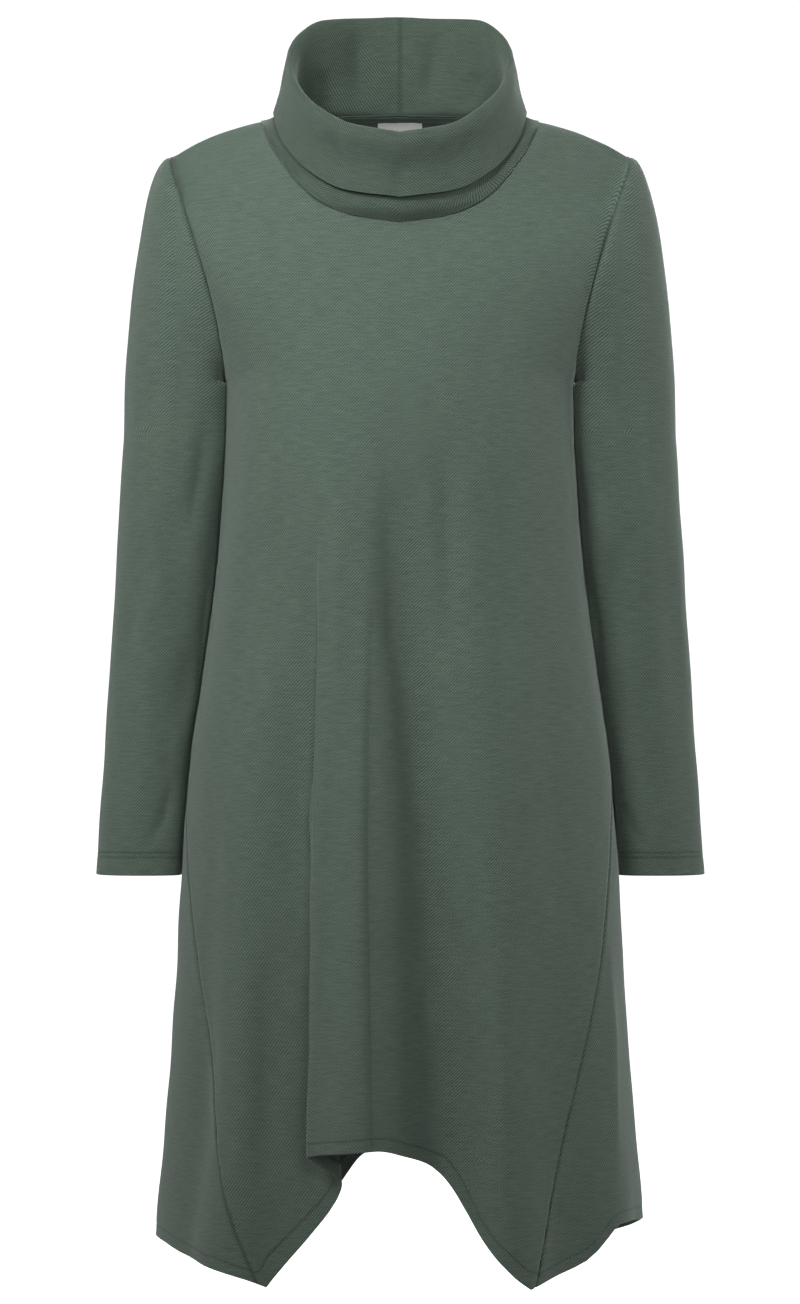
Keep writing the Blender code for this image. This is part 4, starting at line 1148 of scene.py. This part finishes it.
def shaded(colour, share):
    """The same colour, darker."""
    return tuple(share * c for c in colour[:3]) + (1.0,)


def thread(name, colour):
    """Sewing thread, twisted, a little glossier than the cloth."""
    material, tree, shader = new_material(name)
    twist = noise(tree, add_node(tree, "ShaderNodeTexCoord", {})["Object"], 900.0)
    feed(tree, shader, {
        "Base Color": blend_colours(tree, shaded(colour, 0.75), colour, twist),
        "Roughness": 0.62,
        "Sheen Weight": 0.2,
    })
    return material


def stitch_tree(material):
    """Geometry Nodes: stitches laid end to end along paths that carry their direction and facing."""
    tree = bpy.data.node_groups.new("stitch rows", "GeometryNodeTree")
    face = tree.interface
    face.new_socket("Paths", in_out="INPUT", socket_type="NodeSocketGeometry")
    for label, value in (("Pitch", STITCH_PITCH), ("Length", STITCH_LENGTH), ("Thickness", STITCH_THICK)):
        face.new_socket(label, in_out="INPUT", socket_type="NodeSocketFloat").default_value = value
    face.new_socket("Stitches", in_out="OUTPUT", socket_type="NodeSocketGeometry")
    given = add_node(tree, "NodeGroupInput", {})
    curve = add_node(tree, "GeometryNodeMeshToCurve", {"Mesh": given["Paths"]})["Curve"]
    spaced = add_node(tree, "GeometryNodeResampleCurve", {"Curve": curve, "Length": given["Pitch"]},
                      mode="LENGTH")["Curve"]
    ball = add_node(tree, "GeometryNodeMeshIcoSphere", {"Radius": 0.5, "Subdivisions": 1})["Mesh"]
    size = add_node(tree, "ShaderNodeCombineXYZ",
                    {"X": given["Length"], "Y": given["Thickness"], "Z": given["Thickness"]})[0]
    stitch = add_node(tree, "GeometryNodeTransform", {"Geometry": ball, "Scale": size})["Geometry"]
    stitch = add_node(tree, "GeometryNodeSetShadeSmooth", {"Geometry": stitch})["Geometry"]
    ahead = add_node(tree, "GeometryNodeInputTangent", {})[0]
    facing = add_node(tree, "GeometryNodeInputNamedAttribute", {"Name": "facing"},
                      data_type="FLOAT_VECTOR")["Attribute"]
    along = add_node(tree, "FunctionNodeAlignRotationToVector", {"Vector": ahead}, axis="X")["Rotation"]
    upright = add_node(tree, "FunctionNodeAlignRotationToVector", {"Rotation": along, "Vector": facing},
                       axis="Z", pivot_axis="X")["Rotation"]
    laid = add_node(tree, "GeometryNodeInstanceOnPoints",
                    {"Points": spaced, "Instance": stitch, "Rotation": upright})["Instances"]
    real = add_node(tree, "GeometryNodeRealizeInstances", {"Geometry": laid})["Geometry"]
    sewn = add_node(tree, "GeometryNodeSetMaterial", {"Geometry": real, "Material": material})["Geometry"]
    add_node(tree, "NodeGroupOutput", {"Stitches": sewn})
    return tree


def lay_stitches(name, tree, paths, pitch=STITCH_PITCH, length=STITCH_LENGTH):
    """Plain mesh of stitches along paths, each a run of points and of the ways that they face."""
    edges = []
    start = 0
    for path, _ in paths:
        edges += [(start + k, start + k + 1) for k in range(len(path) - 1)]
        start += len(path)
    data = bpy.data.meshes.new(name + "_paths")
    data.from_pydata(np.concatenate([path for path, _ in paths]).tolist(), edges, [])
    store = data.attributes.new("facing", "FLOAT_VECTOR", "POINT")
    store.data.foreach_set("vector", np.concatenate([way for _, way in paths]).ravel())
    guide = new_object(name + "_paths", data)
    rows = guide.modifiers.new("stitches", "NODES")
    rows.node_group = tree
    sizes = {"Pitch": pitch, "Length": length, "Thickness": STITCH_THICK}
    for item in tree.interface.items_tree:
        if item.item_type == "SOCKET" and item.in_out == "INPUT" and item.name in sizes:
            rows[item.identifier] = sizes[item.name]
    ready = guide.evaluated_get(bpy.context.evaluated_depsgraph_get())
    made = bpy.data.meshes.new_from_object(ready)
    guide.modifiers.remove(rows)
    bpy.data.objects.remove(guide, do_unlink=True)
    bpy.data.meshes.remove(data)
    made.name = name
    return new_object(name, made)


def build_sheets():
    """Grids of all sewn pieces, with their normals, seams and what a seam or hem does to them."""
    lengths = body_lengths()
    grids = {"front": panel_grid(True, lengths), "back": panel_grid(False, lengths)}
    front = grids["front"][0]
    back = grids["back"][0]
    for side, word in SIDES:
        grids["gore_" + word] = gore_grid(side, lengths)
    for side, word in SIDES:
        grids["sleeve_" + word] = sleeve_grid(side, front, back)
    grids["collar"] = (collar_grid(neck_loop(front, back)), None)
    sheets = {}
    for name, (grid, chart) in grids.items():
        around = name == "collar" or name.startswith("sleeve")
        normals = sheet_normals(grid, around)
        middle = grid.reshape(-1, 3).mean(axis=0)
        row = 6 if name == "collar" else grid.shape[0] // 2
        turned = np.sum((grid[row] - middle) * normals[row]) < 0
        sheets[name] = {"grid": grid, "around": around, "normals": -normals if turned else normals,
                        "hand": 1.0 if turned else -1.0, "seam_columns": (0,) if around else ()}
        if chart is not None:
            sheets[name]["chart"] = chart
    sheets["collar"]["seam_inside"] = True
    sew(sheets)
    moves = {name: press_seams(sheet) + crease_moves(name, sheet) for name, sheet in sheets.items()}
    for name, sheet in sheets.items():
        sheet["grid"] = sheet["grid"] + sheet["normals"] * moves[name][..., None]
        part_seams(sheet)
        turn_edge(name, sheet)
    return sheets


def turn_edge(name, sheet):
    """Turned hem: a rounded fold, twice the cloth up to its stitches, and the stitches' pull."""
    rows, columns = sheet["grid"].shape[:2]
    sheet["inside"] = np.zeros((rows, columns))
    sheet["rim"] = np.ones((rows, columns))
    if name == "collar":
        return
    sleeve = name.startswith("sleeve")
    offsets = np.array(CUFF_OFFSETS if sleeve else HEM_OFFSETS)
    rows_down = CUFF_ROWS if sleeve else (HEM_ROW,)
    turned = offsets[rows_down[0]] + (TURNED_PAST_CUFF if sleeve else TURNED_PAST_HEM)
    low = slice(rows - len(offsets), rows)
    sheet["inside"][low] = (TURNING * ease((turned - offsets) / TURNED_EDGE))[:, None]
    fold = np.clip(offsets / EDGE_ROUND, 0.0, 1.0)
    sheet["rim"][low] = np.maximum(np.sqrt(1.0 - (1.0 - fold) ** 2), EDGE_LEAST)[:, None]
    press = np.zeros(len(offsets))
    for row in rows_down:
        press += STITCH_PRESS * np.exp(-((offsets - offsets[row]) / PRESS_REACH) ** 2)
    # painted shade along the pressed stitch rows, added to the 'seam' attribute
    sheet["sewn_shade"] = np.zeros((rows, columns))
    sheet["sewn_shade"][low] = (STITCH_SHADE * press / STITCH_PRESS)[:, None]
    part = sheet["grid"][low]
    uneven = 1.0 + 0.5 * unevenness(part, "hem stitches")
    ripple = HEM_RIPPLE * unevenness(part, "hem ripple") * np.exp(-offsets / HEM_RIPPLE_REACH)[:, None]
    move = -press[:, None] * uneven + ripple
    sheet["grid"][low] = part + sheet["normals"][low] * move[..., None]


def seam_run(sheet, row, thickness, outside=True):
    """Path of a stitch row on one face of a sheet, and the way that it faces."""
    way = sheet["normals"][row] * (1.0 if outside else -1.0)
    lift = thickness / 2 + STITCH_LIFT + (0.0 if outside else 1.0) * sheet["inside"][row][:, None]
    return sheet["grid"][row] + way * lift, way


def inside_strip(back, columns, distances, cloth):
    """Sheet laid on the back's inside, at distances below its neckline."""
    grid = np.zeros((len(distances), len(columns), 3))
    facing = np.zeros_like(grid)
    for j, column in enumerate(columns):
        line = np.array([place_on(back["grid"], i, column) for i in range(TOP_STEPS)])
        run = run_lengths(line, 0)
        for i, distance in enumerate(distances):
            row = float(np.interp(distance, run, np.arange(TOP_STEPS)))
            grid[i, j] = place_on(back["grid"], row, column)
            facing[i, j] = place_on(back["normals"], row, column)
    facing /= np.linalg.norm(facing, axis=2, keepdims=True)
    return {"grid": grid - facing * (CLOTH / 2 + LAID_GAP + cloth / 2), "normals": facing,
            "around": False, "hand": 1.0, "mitre": np.ones(grid.shape[:2])}


def soften_rims(sheet, step):
    """Round the cut edges of a small strip."""
    rows, columns = sheet["grid"].shape[:2]
    i = np.minimum(np.arange(rows), np.arange(rows)[::-1])[:, None]
    j = np.minimum(np.arange(columns), np.arange(columns)[::-1])[None]
    sheet["rim"] = np.where(np.minimum(i + 0 * j, j + 0 * i) < step, 0.35, 1.0)


def light(name, place, aim, width, height, power, spread):
    """Soft box at a place, turned to what it lights."""
    lamp = bpy.data.lights.new(name, "AREA")
    lamp.shape = "RECTANGLE"
    lamp.size = width
    lamp.size_y = height
    lamp.energy = power
    lamp.spread = math.radians(spread)
    stand = new_object(name, lamp)
    stand.location = place
    way = np.array(aim) - np.array(place)
    flat = math.hypot(way[0], way[1])
    stand.rotation_euler = (math.atan2(flat, -way[2]), 0.0, math.atan2(way[1], way[0]) - math.pi / 2)


def studio():
    """Pale floor under a pale room, soft lights and the camera."""
    ring = [math.radians(angle) for angle in range(0, 360, 6)]
    data = bpy.data.meshes.new("floor")
    data.from_pydata([(40 * math.cos(a), 40 * math.sin(a), FLOOR_LEVEL) for a in ring], [],
                     [tuple(range(len(ring)))])
    data.shade_smooth()
    floor = new_object("floor", data)
    white, tree, shader = new_material("pale_floor")
    feed(tree, shader, {
        "Base Color": (0.86, 0.86, 0.86, 1.0),
        "Roughness": 0.9,
        "Emission Color": (1.0, 1.0, 1.0, 1.0),
        "Emission Strength": PALE,
    })
    data.materials.append(white)
    floor.visible_diffuse = False
    world = bpy.data.worlds.new("soft_room")
    world.use_nodes = True
    tree = world.node_tree
    seen = add_node(tree, "ShaderNodeLightPath", {})["Is Camera Ray"]
    bright = add_node(tree, "ShaderNodeMapRange", {"To Min": ROOM_LIGHT, "To Max": PALE, "Value": seen})
    feed(tree, tree.nodes["Background"], {"Color": (1.0, 1.0, 1.0, 1.0), "Strength": bright["Result"]})
    bpy.context.scene.world = world
    for row in LIGHTS:
        light(*row)
    lens = bpy.data.cameras.new("camera")
    lens.sensor_fit = "VERTICAL"
    lens.sensor_height = SENSOR
    lens.lens = SENSOR * CAMERA_AWAY / FRAME_HEIGHT
    camera = new_object("camera", lens)
    camera.location = (0.0, -CAMERA_AWAY, CAMERA_LEVEL)
    camera.rotation_euler = (math.pi / 2, 0.0, 0.0)
    bpy.context.scene.camera = camera
    bpy.context.scene.view_settings.view_transform = "Standard"


FLOOR_LEVEL = -1.12
ROOM_LIGHT = 0.13          # what the pale room adds to the lights
PALE = 1.1                 # how bright floor and room look to the camera
SENSOR = 36.0              # millimetres
CAMERA_AWAY = 5.0
CAMERA_LEVEL = -0.4416     # height of the photograph's middle
FRAME_HEIGHT = 1.0823      # what the photograph's frame spans at the dress

# Soft boxes: name, place, what it is aimed at, width, height, watts, degrees that it spreads
LIGHTS = [
    ("key_box", (-1.10, -2.00, 1.05), (0.0, 0.0, 0.10), 0.6, 0.6, 9.5, 95.0),
    ("raking_box", (-2.0, -1.10, 0.75), (0.0, 0.0, 0.0), 0.7, 0.7, 5.0, 110.0),
    ("front_box", (0.6, -3.2, 0.35), (0.0, 0.0, 0.32), 0.8, 0.8, 4.8, 60.0),
    ("top_box", (0.0, -0.7, 1.3), (0.0, 0.0, 0.0), 0.6, 0.6, 0.8, 90.0),
    ("left_edge_box", (-2.6, 0.5, 0.1), (0.0, 0.0, -0.45), 0.8, 2.0, 4.0, 180.0),
    ("right_edge_box", (2.4, 0.35, 0.2), (0.0, 0.0, -0.20), 0.8, 1.4, 22.0, 180.0),
    ("back_box", (0.4, 3.0, 1.0), (0.0, 0.0, -0.20), 1.0, 1.0, 16.0, 180.0),
]

GREEN_DARK = (0.044, 0.066, 0.050, 1.0)
GREEN_LIGHT = (0.138, 0.186, 0.148, 1.0)
# Painted shade: the collar is the body's own jersey, in darker colours that stand in for the shade on the
# turned collar
COLLAR_SHADED_DARK = (0.031, 0.048, 0.035, 1.0)
COLLAR_SHADED_LIGHT = (0.096, 0.133, 0.103, 1.0)
TAPE_DARK = (0.055, 0.080, 0.064, 1.0)
TAPE_LIGHT = (0.110, 0.150, 0.122, 1.0)
THREAD_GREEN = (0.060, 0.085, 0.067, 1.0)
LABEL_PALE = (0.90, 0.91, 0.86, 1.0)


def lay_tape(back):
    """Sheet of the neck tape, along the middle three quarters of the back neck seam."""
    guide = panel_columns(False)[0]
    first = int(np.argmax(guide == 1))
    last = int(np.argmax(guide == 3))
    inset = (last - first) / 8
    tape = inside_strip(back, np.linspace(first + inset, last - inset, 61),
                        np.linspace(TAPE_DROP, TAPE_DROP + TAPE_WIDTH, 9), TAPE_CLOTH)
    soften_rims(tape, 1)
    return tape


def hang_label(back):
    """Sheet of the label, under the tape's middle, its lower end hanging clear of the back."""
    middle = int(np.argmax(panel_columns(False)[0] == 2))
    step = abs(back["grid"][30, middle + 1, 0] - back["grid"][30, middle, 0])
    half = LABEL_WIDTH / 2 / step
    top = TAPE_DROP + TAPE_WIDTH + SEAM_GAP
    label = inside_strip(back, np.linspace(middle - half, middle + half, 25),
                         np.linspace(top, top + LABEL_LENGTH, 19), LABEL_CLOTH)
    hang = np.linspace(0.0, LABEL_LENGTH * LABEL_HANG, 19)[:, None, None]
    label["grid"] = label["grid"] - np.array([0.0, 1.0, 0.0]) * hang
    normals = sheet_normals(label["grid"], False)
    label["normals"] = normals * np.sign(normals[9, 12, 1])
    soften_rims(label, 1)
    return label


def main():
    """All pieces and their stitches, each hung on the root and put in place of the part of its name, which
    is hidden.
    """
    cloth = jersey("twill_jersey", GREEN_DARK, GREEN_LIGHT)
    tape_cloth = jersey("tape_jersey", TAPE_DARK, TAPE_LIGHT, period=0.0015, bump=0.00012)
    label_cloth = label_satin("label_satin", LABEL_PALE)
    sewing = thread("sewing_thread", THREAD_GREEN)
    # the collar's jersey carries painted shade: the same cloth as the body in darker colours
    shaded_collar_cloth = jersey("collar_jersey_painted_shade", COLLAR_SHADED_DARK, COLLAR_SHADED_LIGHT)
    kinds = {
        "collar": (COLLAR_CLOTH, shaded_collar_cloth, "jersey"),
        "neck_tape": (TAPE_CLOTH, tape_cloth, "tape"),
        "label": (LABEL_CLOTH, label_cloth, "label"),
    }
    sheets = build_sheets()
    tape = lay_tape(sheets["back"])
    laid = {"neck_tape": tape, "label": hang_label(sheets["back"])}
    for name, sheet in {**sheets, **laid}.items():
        thickness, material, slot = kinds.get(name, (CLOTH, cloth, "jersey"))
        piece = cloth_wall("dressed_" + name, sheet, thickness, material)
        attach(piece, "root")
        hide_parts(name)
    for piece in sew_rows(sheets, tape, stitch_tree(sewing)):
        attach(piece, "root")


def sew_rows(sheets, tape, tree):
    """All rows of stitches, as plain meshes."""
    made = []
    for name, sheet in sheets.items():
        if name == "collar":
            continue
        sleeve = name.startswith("sleeve")
        offsets, rows = (CUFF_OFFSETS, CUFF_ROWS) if sleeve else (HEM_OFFSETS, (HEM_ROW,))
        paths = []
        for row in rows:
            for outside in (True, False):
                path, way = seam_run(sheet, sheet["grid"].shape[0] - len(offsets) + row, CLOTH, outside)
                if sleeve:
                    paths.append((np.concatenate([path, path[:1]]), np.concatenate([way, way[:1]])))
                else:
                    paths.append((path[1:-1], way[1:-1]))
        made.append(lay_stitches("stitches_" + name, tree, paths))
    way = tape["normals"][[1, -2]]
    edge = tape["grid"][[1, -2]] - way * (TAPE_CLOTH / 2 + STITCH_LIFT)
    paths = [(edge[k, 1:-1], -way[k, 1:-1]) for k in range(2)]
    made.append(lay_stitches("stitches_neck_tape", tree, paths, pitch=0.0026, length=0.0020))
    return made


studio()
main()
